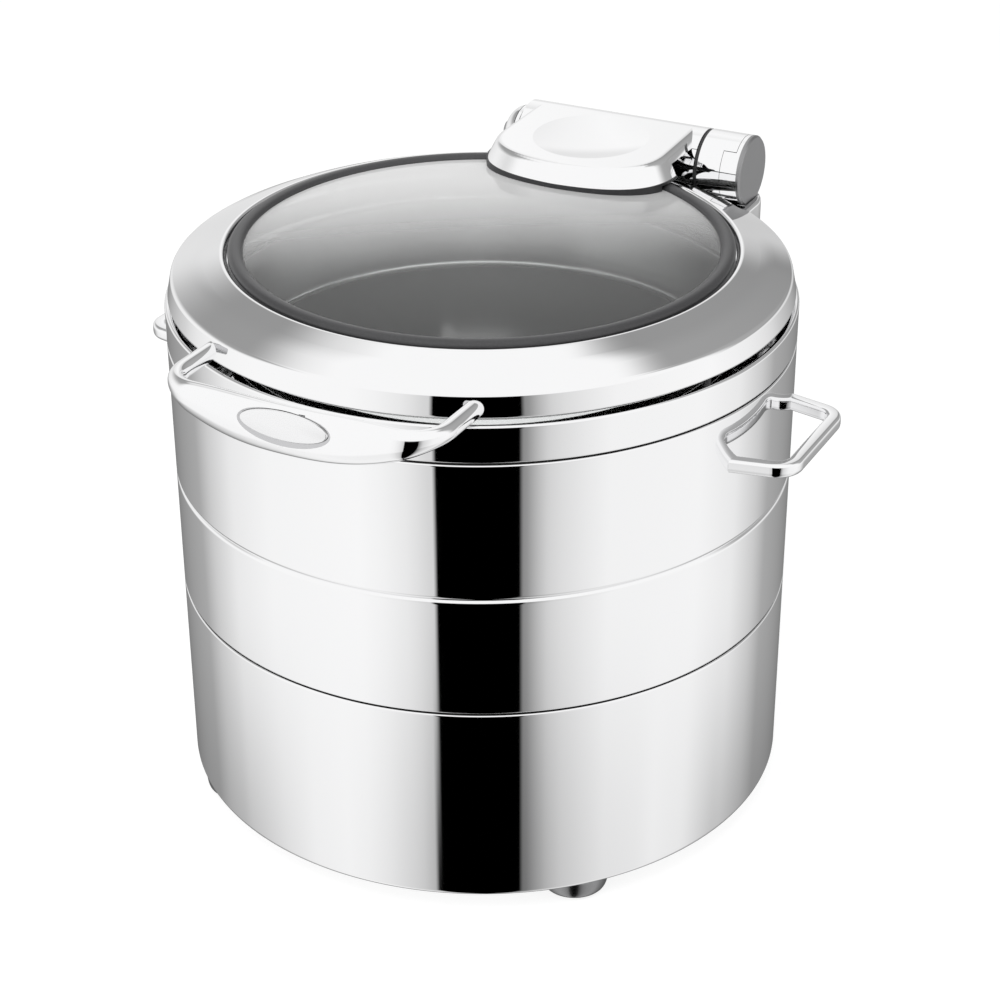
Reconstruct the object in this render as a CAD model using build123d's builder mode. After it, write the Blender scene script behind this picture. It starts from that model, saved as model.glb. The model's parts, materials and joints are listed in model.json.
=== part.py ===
"""Round buffet chafer with a glass lid on a damped hinge, standing on its own burner stand.

The frame: millimetres, +Z up, the origin on the table under the axis of the body.
The lid handle is at the front (-Y), the hinge at the back (+Y), the lifting handles at -X and +X.
The stand holds a fuel burner. The casing drops over the stand and carries the collar, the water
pan and the food pan. The lid turns about a barrel that lies across the back of the collar.
"""

import os
from math import asin, atan2, cos, radians, sin, sqrt, tan

from build123d import *

# ---------------------------------------------------------------- driving dimensions
BODY_R = 200.0  # outside radius of the stand, the casing and the collar
SHEET = 1.5  # wall of the pressed casings
PAN_SHEET = 1.0  # wall of the drawn pans
LID_SHEET = 1.2  # wall of the lid ring
GAP = 0.3  # clearance between pieces that don't touch flat
FIT = 0.1  # clearance round screws, pins and shafts

FOOT_HEIGHT = 16.0
FOOT_R = 20.0
FOOT_CIRCLE_R = 174.0
FOOT_COUNT = 4
STAND_HEIGHT = 132.0  # from the stand's lower edge to its shoulder
BASE_FLANGE_R = 150.0  # inner radius of the flange that the feet carry
LAP = 12.0  # how far one casing reaches up inside the next
CASING_HEIGHT = 168.6  # from the stand's shoulder to the collar's lower edge
BEAD_HEIGHT = 79.4  # of the pressed bead above the casing's lower edge
BEAD_DEPTH = 2.2
COLLAR_HEIGHT = 23.4
LEDGE_DEPTH = 8.0  # of the pan ledge below the collar's top
LEDGE_OUTER_R = 190.0
LEDGE_INNER_R = 178.0
EDGE_R = 1.0  # rounding of a casing's lower edge

WATER_PAN_DEPTH = 142.0
FOOD_PAN_DEPTH = 48.0
FOOD_PAN_MOUTH_R = 168.0
FOOD_PAN_FLOOR_R = 161.5
FOOD_PAN_CORNER_R = 6.0
PAN_RIM_R = 188.3

LID_GAP = 4.5  # between the collar's top and the lid's hem
LID_R = 198.2
LID_SKIRT = 13.3  # height of the lid's skirt
LID_EDGE_R = 194.9  # radius where the skirt meets the sloping top
LID_CREST_R = 162.4
LID_CREST_RISE = 27.1  # of the crest's middle surface above the hem's
LID_FLANGE_R = 155.0  # inner radius of the flange that the window gasket grips
LID_FLANGE_DROP = 4.7  # of that flange below the crest
WINDOW_R = 151.0
GLASS = 4.0
GLASS_RISE = 5.0
GASKET_INNER_R = 147.0
GASKET_OUTER_R = 160.2
LID_OPENING = 90.0  # degrees, the hinge's travel

HINGE_Y = 202.0
HINGE_RISE = 28.6  # of the hinge axis above the collar's top
BARREL_R = 24.0
BARREL_HALF = 67.0  # half the width of the barrel that the lid carries
KNUCKLE_OUTER_X = 98.0
SEAM_X = 86.0  # where the stop collar starts
LUG_LENGTH = 9.0  # how far the knuckle's stop lug reaches into the stop collar
LUG_RISE = 17.5  # of the lug's flat above the hinge axis
WASHER = 2.4
END_CAP = 3.0
DAMPER_R = 17.0
SHAFT_R = 8.0
SHAFT_SQUARE = 11.0  # across the flats of the shaft's square end
DRIVE_LENGTH = 22.0  # how far the shaft's square end and its bush reach into the barrel
BUSH_R = 14.0
BUSH_FLANGE = 7.7
WING_RISE = 15.8  # above the hinge axis, of the cover's wings that lie over the bushes' flanges
KNUCKLE_THREAD = 3.0  # how far the knuckles' screws reach above the bracket
BRACKET_HALF = 114.0
BRACKET_BACK_Y = 235.0
BRACKET_DROP = 22.0  # of the bracket's lower face below the collar's top
BRACKET_RISE = 8.0  # of its upper face above the collar's top
NOTCH_HALF = 117.0
NOTCH_R = 186.0
NOTCH_Y = 175.0
NOTCH_CORNER_R = 4.0

COVER_FRONT_Y = 99.0
COVER_SIDE_Y = 150.0  # where the cover's straight sides end
COVER_WALL = 5.0
COVER_FRONT_HEIGHT = 11.5
COVER_EDGE_R = 5.5
COVER_LIFT = 5.8  # of the cover's base above the glass's rim
WAIST_X = 55.0  # half the width of the cover's lower wall beside the barrel
THUMB_R = 38.0
THUMB_DEPTH = 2.6
THUMB_Y = 148.0

HANDLE_HALF = 88.0  # of the lid handle, to the middle of an arm
HANDLE_BAR = 11.0
HANDLE_BEND_R = 17.0
HANDLE_FRONT_Y = -238.5
HANDLE_TOP_RISE = 13.6  # of the lid handle's top above the hem
GRIP_HEIGHT = 32.0
GRIP_THICKNESS = 10.5
GRIP_LEAN = 13.0  # degrees, how far the grip's face looks upward
GRIP_HALF = 78.0  # where the grip has thinned down to the arms' bar
GRIP_RISE = 0.3  # the share of the grip's extra height that goes above the arms
GRIP_BOW = 11.0  # how far the grip's middle stands out in front of its ends
GRIP_BOW_R = 300.0
GRIP_STATIONS = 24
MEDALLION_A = 28.5
MEDALLION_B = 8.2
MEDALLION_RISE = 2.5  # above the middle of the grip
DISH_DEPTH = 2.2

SIDE_HANDLE_Z = 282.0
SIDE_HANDLE_BAR = 11.0
HANDLE_BEND_R = 17.0
SIDE_HANDLE_ROOT_Y = 48.5
SIDE_HANDLE_BAR_Y = 41.0
SIDE_HANDLE_REACH = 29.5  # of the bar's middle line past the casing
ROOT_SINK = 12.0  # how far inside the casing the handles' middle lines begin, before they are trimmed
HOLE_REACH = 20.0  # how deep inside the body a hole is drilled

CAN_R = 43.0
CAN_HEIGHT = 70.0
WICK_R = 21.4
SNUFFER_R = 26.0
SNUFFER_PIVOT_Y = 34.0

# ---------------------------------------------------------------- places worked out from them
stand_z = FOOT_HEIGHT
shoulder_z = stand_z + STAND_HEIGHT
casing_top_z = shoulder_z + CASING_HEIGHT
collar_z = casing_top_z + COLLAR_HEIGHT
ledge_z = collar_z - LEDGE_DEPTH
wall_mid_r = BODY_R - SHEET / 2
lap_mid_r = BODY_R - 1.5 * SHEET - 2 * GAP
hem_z = collar_z + LID_GAP
hem_mid_z = hem_z + LID_SHEET / 2
crest_z = hem_mid_z + LID_CREST_RISE
flange_mid_z = crest_z - LID_FLANGE_DROP
glass_z = flange_mid_z + 3.7  # top of the glass at its rim
hinge_z = collar_z + HINGE_RISE
cover_z = glass_z + COVER_LIFT
washer_x = BARREL_HALF + GAP / 2
knuckle_x = washer_x + WASHER + GAP / 2
bracket_top_z = collar_z + BRACKET_RISE
foot_start_angle = 45

pieces = {}


def revolved_sheet(points, radii, wall):
    """The sketch of a pressed sheet: a rounded middle line with the wall's thickness, for a revolve."""
    with BuildSketch(Plane.XZ) as section:
        with BuildLine():
            FilletPolyline(*points, radius=radii)
        trace(line_width=wall)
    return section.sketch


def outward(angle, radius, z):
    """The plane that faces outward from the axis at an angle, counted from +X."""
    direction = Vector(cos(radians(angle)), sin(radians(angle)), 0)
    return Plane(origin=direction * radius + Vector(0, 0, z), x_dir=(0, 0, 1), z_dir=direction)


# ================================================================ the burner stand
with BuildPart() as stand_shell:
    add(
        revolved_sheet(
            [
                (BASE_FLANGE_R, stand_z + SHEET / 2),
                (wall_mid_r, stand_z + SHEET / 2),
                (wall_mid_r, shoulder_z - SHEET / 2),
                (lap_mid_r, shoulder_z - SHEET / 2),
                (lap_mid_r, shoulder_z + LAP),
            ],
            [2.5, 1.0, 1.0],
            SHEET,
        )
    )
    revolve(axis=Axis.Z)
    with PolarLocations(FOOT_CIRCLE_R, FOOT_COUNT, start_angle=foot_start_angle):
        Hole(radius=3.0 + FIT)
pieces["stand_shell"] = stand_shell.part

FLOOR_PANEL_RISE = 6.0
floor_z = stand_z + SHEET  # the floor lies on the flange
panel_mid_z = floor_z + PAN_SHEET / 2 + FLOOR_PANEL_RISE
panel_z = panel_mid_z + PAN_SHEET / 2

with BuildPart() as stand_floor:
    add(
        revolved_sheet(
            [
                (0, panel_mid_z),
                (BASE_FLANGE_R - 10, panel_mid_z),
                (BASE_FLANGE_R - 4, floor_z + PAN_SHEET / 2),
                (BODY_R - SHEET - 3, floor_z + PAN_SHEET / 2),
            ],
            3.0,
            PAN_SHEET,
        )
    )
    revolve(axis=Axis.Z)
    with BuildSketch(Plane.XY.offset(panel_z)):
        with PolarLocations(105, 16):
            SlotOverall(34, 8)
    extrude(amount=-4 * PAN_SHEET, mode=Mode.SUBTRACT)
    with PolarLocations(FOOT_CIRCLE_R, FOOT_COUNT, start_angle=foot_start_angle):
        Hole(radius=3.0 + FIT)
pieces["stand_floor"] = stand_floor.part

PAD_R = 13.0
PAD_HEIGHT = 4.0

with BuildPart() as one_foot:
    with BuildSketch(Plane.XZ):
        with BuildLine():
            Line((0, PAD_HEIGHT), (0, FOOT_HEIGHT))
            Line((0, FOOT_HEIGHT), (FOOT_R, FOOT_HEIGHT))
            Line((FOOT_R, FOOT_HEIGHT), (FOOT_R, FOOT_HEIGHT - 2))
            TangentArc((FOOT_R, FOOT_HEIGHT - 2), (PAD_R + 2, 1.5), tangent=(0, -1))
            Line((PAD_R + 2, 1.5), (PAD_R + FIT, 1.5))
            Line((PAD_R + FIT, 1.5), (PAD_R + FIT, PAD_HEIGHT))
            Line((PAD_R + FIT, PAD_HEIGHT), (0, PAD_HEIGHT))
        make_face()
    revolve(axis=Axis.Z)
    with Locations((0, 0, FOOT_HEIGHT)):
        Hole(radius=3.0 + FIT, depth=10)

with BuildPart() as stand_feet:
    with PolarLocations(FOOT_CIRCLE_R, FOOT_COUNT, start_angle=foot_start_angle):
        add(one_foot.part)
pieces["stand_feet"] = stand_feet.part

with BuildPart() as foot_pads:
    with PolarLocations(FOOT_CIRCLE_R, FOOT_COUNT, start_angle=foot_start_angle):
        Cylinder(PAD_R, PAD_HEIGHT, align=(Align.CENTER, Align.CENTER, Align.MIN))
    chamfer(foot_pads.edges().group_by(Axis.Z)[0], 0.8)
pieces["foot_pads"] = foot_pads.part

with BuildPart() as foot_bolts:
    with BuildSketch(Plane.XY.offset(floor_z + PAN_SHEET)):
        with PolarLocations(FOOT_CIRCLE_R, FOOT_COUNT, start_angle=foot_start_angle):
            RegularPolygon(5.5, 6)
    extrude(amount=4)
    chamfer(foot_bolts.edges().group_by(Axis.Z)[-1], 0.6)
    with BuildSketch(Plane.XY.offset(floor_z + PAN_SHEET)):
        with PolarLocations(FOOT_CIRCLE_R, FOOT_COUNT, start_angle=foot_start_angle):
            Circle(3.0)
    extrude(amount=-(floor_z + PAN_SHEET - FOOT_HEIGHT + 8))
pieces["foot_bolts"] = foot_bolts.part

# ---------------------------------------------------------------- the burner
holder_r = CAN_R + GAP + 0.6

with BuildPart() as burner_holder:
    add(
        revolved_sheet(
            [
                (0, panel_z + 0.6),
                (holder_r + 0.6, panel_z + 0.6),
                (holder_r + 0.6, panel_z + 20),
                (holder_r + 3.5, panel_z + 24),
            ],
            [2.0, 3.0],
            1.2,
        )
    )
    revolve(axis=Axis.Z)
pieces["burner_holder"] = burner_holder.part

can_z = panel_z + 1.2
can_top_z = can_z + CAN_HEIGHT
CAN_WALL = 0.6

with BuildPart() as fuel_can:
    add(
        revolved_sheet(
            [
                (0, can_z + CAN_WALL / 2),
                (CAN_R - CAN_WALL / 2, can_z + CAN_WALL / 2),
                (CAN_R - CAN_WALL / 2, can_top_z - 8),
                (CAN_R - 3, can_top_z - CAN_WALL / 2),
                (WICK_R + GAP + CAN_WALL / 2, can_top_z - CAN_WALL / 2),
                (WICK_R + GAP + CAN_WALL / 2, can_top_z - 8),
            ],
            [2.0, 3.0, 2.5, 1.0],
            CAN_WALL,
        )
    )
    revolve(axis=Axis.Z)
    with Locations((0, SNUFFER_PIVOT_Y, can_top_z)):
        Hole(radius=2.0 + FIT, depth=3)
pieces["fuel_can"] = fuel_can.part

with BuildPart() as burner_wick:
    with Locations((0, 0, can_z + CAN_WALL)):
        Cylinder(
            WICK_R,
            CAN_HEIGHT - CAN_WALL - 2.5,
            align=(Align.CENTER, Align.CENTER, Align.MIN),
        )
    fillet(burner_wick.edges().group_by(Axis.Z)[-1], 2.0)
pieces["burner_wick"] = burner_wick.part

snuffer_z = can_top_z + GAP
SNUFFER = 1.0

with BuildPart() as burner_lid:
    with BuildSketch(Plane.XY.offset(snuffer_z)):
        Circle(SNUFFER_R)
        with Locations((0, SNUFFER_PIVOT_Y)):
            Circle(6)
        make_hull()
        with Locations((0, -SNUFFER_R - 6)):
            SlotOverall(24, 9, rotation=90)
        with Locations((0, SNUFFER_PIVOT_Y)):
            Circle(2.0 + FIT, mode=Mode.SUBTRACT)
    extrude(amount=SNUFFER)
pieces["burner_lid"] = burner_lid.part

with BuildPart() as burner_lid_knob:
    with BuildSketch(Plane.XZ):
        with BuildLine():
            Polyline(
                (0, snuffer_z + SNUFFER),
                (3.0, snuffer_z + SNUFFER),
                (3.0, snuffer_z + SNUFFER + 4),
                (5.0, snuffer_z + SNUFFER + 6),
                (5.0, snuffer_z + SNUFFER + 10),
                (0, snuffer_z + SNUFFER + 10),
                close=True,
            )
        make_face()
    revolve(axis=Axis.Z)
knob_place = Location((0, -SNUFFER_R - 10, 0))
pieces["burner_lid_knob"] = burner_lid_knob.part.moved(knob_place)

with BuildPart() as burner_rivet:
    with Locations((0, SNUFFER_PIVOT_Y, can_top_z - 2.2)):
        Cylinder(2.0, 2.2 + GAP + SNUFFER + GAP, align=(Align.CENTER, Align.CENTER, Align.MIN))
    with Locations((0, SNUFFER_PIVOT_Y, snuffer_z + SNUFFER + GAP)):
        Cylinder(3.6, 1.4, align=(Align.CENTER, Align.CENTER, Align.MIN))
    fillet(burner_rivet.edges().group_by(Axis.Z)[-1], 0.9)
pieces["burner_rivet"] = burner_rivet.part

# ================================================================ the casing and the collar
bead_z = shoulder_z + BEAD_HEIGHT
side_handle_slope = (SIDE_HANDLE_ROOT_Y - SIDE_HANDLE_BAR_Y) / (SIDE_HANDLE_REACH + ROOT_SINK)
side_screw_y = SIDE_HANDLE_ROOT_Y - ROOT_SINK * side_handle_slope
side_screw_places = [(side_screw_y, SIDE_HANDLE_Z), (-side_screw_y, SIDE_HANDLE_Z)]
backing_angles = [90 + a for a in (-24, -9, 9, 24)]
bracket_screw_z = casing_top_z + 6.5

with BuildPart() as casing:
    with BuildSketch(Plane.XZ):
        with BuildLine():
            FilletPolyline(
                (wall_mid_r, shoulder_z),
                (wall_mid_r, bead_z - BEAD_DEPTH - 0.4),
                (wall_mid_r - BEAD_DEPTH, bead_z),
                (wall_mid_r, bead_z + BEAD_DEPTH + 0.4),
                (wall_mid_r, casing_top_z - SHEET / 2),
                (lap_mid_r, casing_top_z - SHEET / 2),
                (lap_mid_r, casing_top_z + LAP),
                radius=[1.4, 1.2, 1.4, 1.0, 1.0],
            )
        trace(line_width=SHEET)
        fillet(vertices().group_by(Axis.Y)[0].sort_by(Axis.X)[-1], EDGE_R)
    revolve(axis=Axis.Z)
    for side in (1, -1):
        with BuildSketch(Plane.YZ.offset(side * (BODY_R - HOLE_REACH))):
            with Locations(*side_screw_places):
                Circle(2.5 + FIT)
        extrude(amount=side * 1.5 * HOLE_REACH, mode=Mode.SUBTRACT)
    for angle in backing_angles:
        with BuildSketch(outward(angle, BODY_R - 20, bracket_screw_z)):
            Circle(3.0 + FIT)
        extrude(amount=25, mode=Mode.SUBTRACT)
pieces["casing"] = casing.part

BUMPER_R = 3.0
BUMPER_CIRCLE_R = 194.3
bumper_angles = [-60, -120, 150, 30]

with BuildPart() as collar:
    with BuildSketch(Plane.XZ):
        with BuildLine():
            FilletPolyline(
                (wall_mid_r, casing_top_z),
                (wall_mid_r, collar_z - SHEET / 2),
                (LEDGE_OUTER_R, collar_z - SHEET / 2),
                (LEDGE_OUTER_R, ledge_z - SHEET / 2),
                (LEDGE_INNER_R, ledge_z - SHEET / 2),
                radius=[2.0, 1.4, 1.4],
            )
        trace(line_width=SHEET)
        fillet(vertices().group_by(Axis.Y)[0].sort_by(Axis.X)[-1], EDGE_R)
    revolve(axis=Axis.Z)
    for angle in bumper_angles:
        with Locations(
            (
                BUMPER_CIRCLE_R * cos(radians(angle)),
                BUMPER_CIRCLE_R * sin(radians(angle)),
                collar_z,
            )
        ):
            Hole(radius=1.2 + FIT, depth=4)
    for angle in backing_angles:
        with BuildSketch(outward(angle, BODY_R - 20, bracket_screw_z)):
            Circle(3.0 + FIT)
        extrude(amount=25, mode=Mode.SUBTRACT)
pieces["collar"] = collar.part

with BuildPart() as lid_bumpers:
    for angle in bumper_angles:
        centre = (BUMPER_CIRCLE_R * cos(radians(angle)), BUMPER_CIRCLE_R * sin(radians(angle)))
        with Locations((*centre, collar_z)):
            Cylinder(BUMPER_R, LID_GAP - GAP, align=(Align.CENTER, Align.CENTER, Align.MIN))
            Cylinder(1.2, 3.5, align=(Align.CENTER, Align.CENTER, Align.MAX))
pieces["lid_bumpers"] = lid_bumpers.part

# ---------------------------------------------------------------- the pans
water_floor_z = ledge_z + PAN_SHEET - WATER_PAN_DEPTH
WATER_PAN_R = 175.0

with BuildPart() as water_pan:
    add(
        revolved_sheet(
            [
                (PAN_RIM_R, ledge_z + PAN_SHEET / 2),
                (WATER_PAN_R, ledge_z + PAN_SHEET / 2),
                (WATER_PAN_R - 3, water_floor_z - PAN_SHEET / 2),
                (0, water_floor_z - PAN_SHEET / 2),
            ],
            [3.0, 14.0],
            PAN_SHEET,
        )
    )
    revolve(axis=Axis.Z)
pieces["water_pan"] = water_pan.part

food_rim_z = ledge_z + PAN_SHEET
food_floor_z = food_rim_z + PAN_SHEET - FOOD_PAN_DEPTH

with BuildPart() as food_pan:
    add(
        revolved_sheet(
            [
                (PAN_RIM_R, food_rim_z + PAN_SHEET / 2),
                (FOOD_PAN_MOUTH_R + PAN_SHEET / 2, food_rim_z + PAN_SHEET / 2),
                (FOOD_PAN_FLOOR_R + PAN_SHEET / 2, food_floor_z - PAN_SHEET / 2),
                (0, food_floor_z - PAN_SHEET / 2),
            ],
            [3.0, FOOD_PAN_CORNER_R],
            PAN_SHEET,
        )
    )
    revolve(axis=Axis.Z)
pieces["food_pan"] = food_pan.part

# ---------------------------------------------------------------- the lifting handles
bar_x = BODY_R + SIDE_HANDLE_REACH
root_x = BODY_R - ROOT_SINK

for side, name in ((1, "right"), (-1, "left")):
    with BuildPart() as side_handle:
        with BuildLine(Plane.XY.offset(SIDE_HANDLE_Z)) as bow:
            FilletPolyline(
                (side * root_x, -side * SIDE_HANDLE_ROOT_Y),
                (side * bar_x, -side * SIDE_HANDLE_BAR_Y),
                (side * bar_x, side * SIDE_HANDLE_BAR_Y),
                (side * root_x, side * SIDE_HANDLE_ROOT_Y),
                radius=13,
            )
        with BuildSketch(Plane(origin=bow.line @ 0, x_dir=(0, 0, 1), z_dir=bow.line % 0)):
            RectangleRounded(SIDE_HANDLE_BAR, SIDE_HANDLE_BAR, 3.6)
        sweep()
        with Locations((0, 0, SIDE_HANDLE_Z)):
            Cylinder(BODY_R + FIT, 4 * SIDE_HANDLE_BAR, mode=Mode.SUBTRACT)
        with BuildSketch(Plane.YZ.offset(side * root_x)):
            with Locations(*side_screw_places):
                Circle(2.5 + FIT)
        extrude(amount=side * (ROOT_SINK + 12), mode=Mode.SUBTRACT)
    pieces[f"side_handle_{name}"] = side_handle.part

saddle_x = BODY_R - SHEET - 9.0  # the flat inner face of the saddle washers

with BuildPart() as side_handle_washers:
    for side in (1, -1):
        with BuildSketch(Plane.YZ.offset(side * saddle_x)):
            with Locations(*side_screw_places):
                Circle(8)
                Circle(2.5 + FIT, mode=Mode.SUBTRACT)
        extrude(amount=side * 6)
    with BuildSketch(Plane.XY.offset(SIDE_HANDLE_Z - 10)):
        Circle(BODY_R - SHEET - FIT)
    extrude(amount=20, mode=Mode.INTERSECT)
pieces["side_handle_washers"] = side_handle_washers.part

with BuildPart() as side_handle_screws:
    for side in (1, -1):
        with BuildSketch(Plane.YZ.offset(side * saddle_x)):
            with Locations(*side_screw_places):
                Circle(4.6)
        extrude(amount=-side * 3.2)
        with BuildSketch(Plane.YZ.offset(side * saddle_x)):
            with Locations(*side_screw_places):
                Circle(2.5)
        extrude(amount=side * (BODY_R + 10 - saddle_x))
pieces["side_handle_screws"] = side_handle_screws.part

# ================================================================ the hinge's fixed half
with BuildPart() as hinge_bracket:
    for low_z, inner_r in ((collar_z - BRACKET_DROP, BODY_R + FIT), (collar_z + FIT, LEDGE_OUTER_R)):
        with BuildSketch(Plane.XY.offset(low_z)):
            with Locations((0, BRACKET_BACK_Y)):
                Rectangle(2 * BRACKET_HALF, 92, align=(Align.CENTER, Align.MAX))
            fillet(vertices().group_by(Axis.Y)[-1], 30)
            Circle(inner_r, mode=Mode.SUBTRACT)
        extrude(amount=bracket_top_z - low_z)
    fillet(hinge_bracket.faces().sort_by(Axis.Z)[-1].edges().filter_by(lambda e: e.center().Y > 190), 2.5)
    for half_width, clearance in ((KNUCKLE_OUTER_X + END_CAP + 1, FIT), (knuckle_x - GAP, 2 * GAP)):
        with BuildSketch(Plane.YZ.offset(-half_width)):
            with Locations((HINGE_Y, hinge_z)):
                Circle(BARREL_R + clearance)
        extrude(amount=2 * half_width, mode=Mode.SUBTRACT)
    for angle in backing_angles:
        with BuildSketch(outward(angle, BODY_R - 20, bracket_screw_z)):
            Circle(3.0 + FIT)
        extrude(amount=32, mode=Mode.SUBTRACT)
    knuckle_mid_x = (knuckle_x + SEAM_X) / 2
    knuckle_screw_places = [(s * knuckle_mid_x, HINGE_Y + d) for s in (-1, 1) for d in (-10, 12)]
    with BuildSketch(Plane.XY.offset(bracket_top_z + 1)):
        with Locations(*knuckle_screw_places):
            Circle(2.5 + FIT)
    extrude(amount=-60, mode=Mode.SUBTRACT)
pieces["hinge_bracket"] = hinge_bracket.part

lap_inner_r = lap_mid_r - SHEET / 2
BACKING = 3.0
BACKING_HALF_ANGLE = 30

with BuildPart() as bracket_backing:
    with BuildSketch(Plane.XY.offset(bracket_screw_z - 6)):
        Circle(lap_inner_r - FIT)
        Circle(lap_inner_r - FIT - BACKING, mode=Mode.SUBTRACT)
        with BuildLine():
            reach = 2 * BODY_R * sin(radians(BACKING_HALF_ANGLE))
            height = 2 * BODY_R * cos(radians(BACKING_HALF_ANGLE))
            Polyline((0, 0), (reach, height), (-reach, height), close=True)
        make_face(mode=Mode.INTERSECT)
    extrude(amount=12)
    for angle in backing_angles:
        with BuildSketch(outward(angle, BODY_R - 20, bracket_screw_z)):
            Circle(3.0 + FIT)
        extrude(amount=25, mode=Mode.SUBTRACT)
pieces["bracket_backing"] = bracket_backing.part

with BuildPart() as bracket_screws:
    head_r = lap_inner_r - FIT - BACKING - 0.3
    for angle in backing_angles:
        with BuildSketch(outward(angle, head_r, bracket_screw_z)):
            RegularPolygon(5.5, 6)
        extrude(amount=-4)
        with BuildSketch(outward(angle, head_r, bracket_screw_z)):
            Circle(3.0)
        extrude(amount=18)
pieces["bracket_screws"] = bracket_screws.part

for side, name in ((1, "right"), (-1, "left")):
    with BuildPart() as hinge_knuckle:
        with BuildSketch(Plane.YZ.offset(side * knuckle_x)):
            with Locations((HINGE_Y, hinge_z)):
                Circle(BARREL_R)
            with Locations((HINGE_Y, bracket_top_z)):
                Rectangle(36, hinge_z - bracket_top_z - 4, align=(Align.CENTER, Align.MIN))
            with Locations((HINGE_Y, hinge_z)):
                Circle(DAMPER_R + FIT, mode=Mode.SUBTRACT)
        extrude(amount=side * (SEAM_X - knuckle_x))
        with BuildSketch(Plane.YZ.offset(side * SEAM_X)):
            with Locations((HINGE_Y, hinge_z)):
                Circle(BARREL_R)
                Circle(DAMPER_R + FIT, mode=Mode.SUBTRACT)
            with Locations((HINGE_Y, hinge_z + LUG_RISE)):
                Rectangle(
                    2 * BARREL_R, BARREL_R, align=(Align.CENTER, Align.MIN), mode=Mode.INTERSECT
                )
        extrude(amount=side * LUG_LENGTH)
        with BuildSketch(Plane.XY.offset(hinge_z - BARREL_R)):
            with Locations(*[p for p in knuckle_screw_places if p[0] * side > 0]):
                Circle(2.5 + FIT)
        extrude(amount=bracket_top_z + KNUCKLE_THREAD + 1 - hinge_z + BARREL_R, mode=Mode.SUBTRACT)
    pieces[f"hinge_knuckle_{name}"] = hinge_knuckle.part

    with BuildPart() as stop_collar:
        with BuildSketch(Plane.YZ.offset(side * (SEAM_X + GAP))):
            with Locations((HINGE_Y, hinge_z)):
                Circle(BARREL_R)
                Circle(DAMPER_R + FIT, mode=Mode.SUBTRACT)
        extrude(amount=side * (KNUCKLE_OUTER_X - SEAM_X - GAP))
        with BuildSketch(Plane.YZ.offset(side * SEAM_X)):
            with Locations((HINGE_Y, hinge_z + LUG_RISE - GAP)):
                Rectangle(2 * BARREL_R, BARREL_R, align=(Align.CENTER, Align.MIN))
        extrude(amount=side * (LUG_LENGTH + GAP), mode=Mode.SUBTRACT)
    pieces[f"hinge_stop_collar_{name}"] = stop_collar.part

    with BuildPart() as end_cap:
        with BuildSketch(Plane.YZ.offset(side * KNUCKLE_OUTER_X)):
            with Locations((HINGE_Y, hinge_z)):
                Circle(BARREL_R)
        extrude(amount=side * END_CAP)
        outer_face = end_cap.faces().sort_by(Axis.X)[-1 if side > 0 else 0]
        chamfer(outer_face.edges(), 1.3)
        with BuildSketch(Plane.YZ.offset(side * KNUCKLE_OUTER_X)):
            with Locations((HINGE_Y, hinge_z)):
                Circle(DAMPER_R - FIT)
        extrude(amount=-side * 1.8)
    pieces[f"hinge_end_cap_{name}"] = end_cap.part

    with BuildPart() as damper:
        with BuildSketch(Plane.YZ.offset(side * knuckle_x)):
            with Locations((HINGE_Y, hinge_z)):
                Circle(DAMPER_R)
        extrude(amount=side * (KNUCKLE_OUTER_X - 2 - knuckle_x))
        with BuildSketch(Plane.YZ.offset(side * knuckle_x)):
            with Locations((HINGE_Y, hinge_z)):
                Circle(SHAFT_R + FIT)
        extrude(amount=side * 20, mode=Mode.SUBTRACT)
    pieces[f"hinge_damper_{name}"] = damper.part

    with BuildPart() as washer:
        with BuildSketch(Plane.YZ.offset(side * washer_x)):
            with Locations((HINGE_Y, hinge_z)):
                Circle(BARREL_R - 0.9)
                Circle(SHAFT_R + GAP, mode=Mode.SUBTRACT)
        extrude(amount=side * WASHER)
    pieces[f"hinge_washer_{name}"] = washer.part

    with BuildPart() as damper_shaft:
        with BuildSketch(Plane.YZ.offset(side * (BARREL_HALF - 1))):
            with Locations((HINGE_Y, hinge_z)):
                Circle(SHAFT_R)
        extrude(amount=side * (knuckle_x + 19 - BARREL_HALF))
        with BuildSketch(Plane.YZ.offset(side * (BARREL_HALF - 1))):
            with Locations((HINGE_Y, hinge_z)):
                Rectangle(SHAFT_SQUARE, SHAFT_SQUARE)
        extrude(amount=-side * (DRIVE_LENGTH - 1))
    pieces[f"hinge_shaft_{name}"] = damper_shaft.part

with BuildPart() as knuckle_screws:
    bracket_low_z = collar_z - BRACKET_DROP
    with BuildSketch(Plane.XY.offset(bracket_low_z)):
        with Locations(*knuckle_screw_places):
            Circle(4.4)
    extrude(amount=-3.5)
    with BuildSketch(Plane.XY.offset(bracket_low_z)):
        with Locations(*knuckle_screw_places):
            Circle(2.5)
    extrude(amount=bracket_top_z + KNUCKLE_THREAD - bracket_low_z)
pieces["knuckle_screws"] = knuckle_screws.part

# ================================================================ the lid
skirt_top_z = hem_mid_z + LID_SKIRT
lid_mid_r = LID_R - LID_SHEET / 2
edge_mid_r = LID_EDGE_R - LID_SHEET / 2
crown_r = (LID_CREST_R + edge_mid_r) / 2
crown_z = (crest_z + skirt_top_z) / 2 + 0.7
handle_z = hem_z + HANDLE_TOP_RISE - HANDLE_BAR / 2
handle_places = [(HANDLE_HALF, handle_z), (-HANDLE_HALF, handle_z)]
rear_screw_places = [(-40, 167), (40, 167)]  # the screws that hold the cover on the ring

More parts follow.
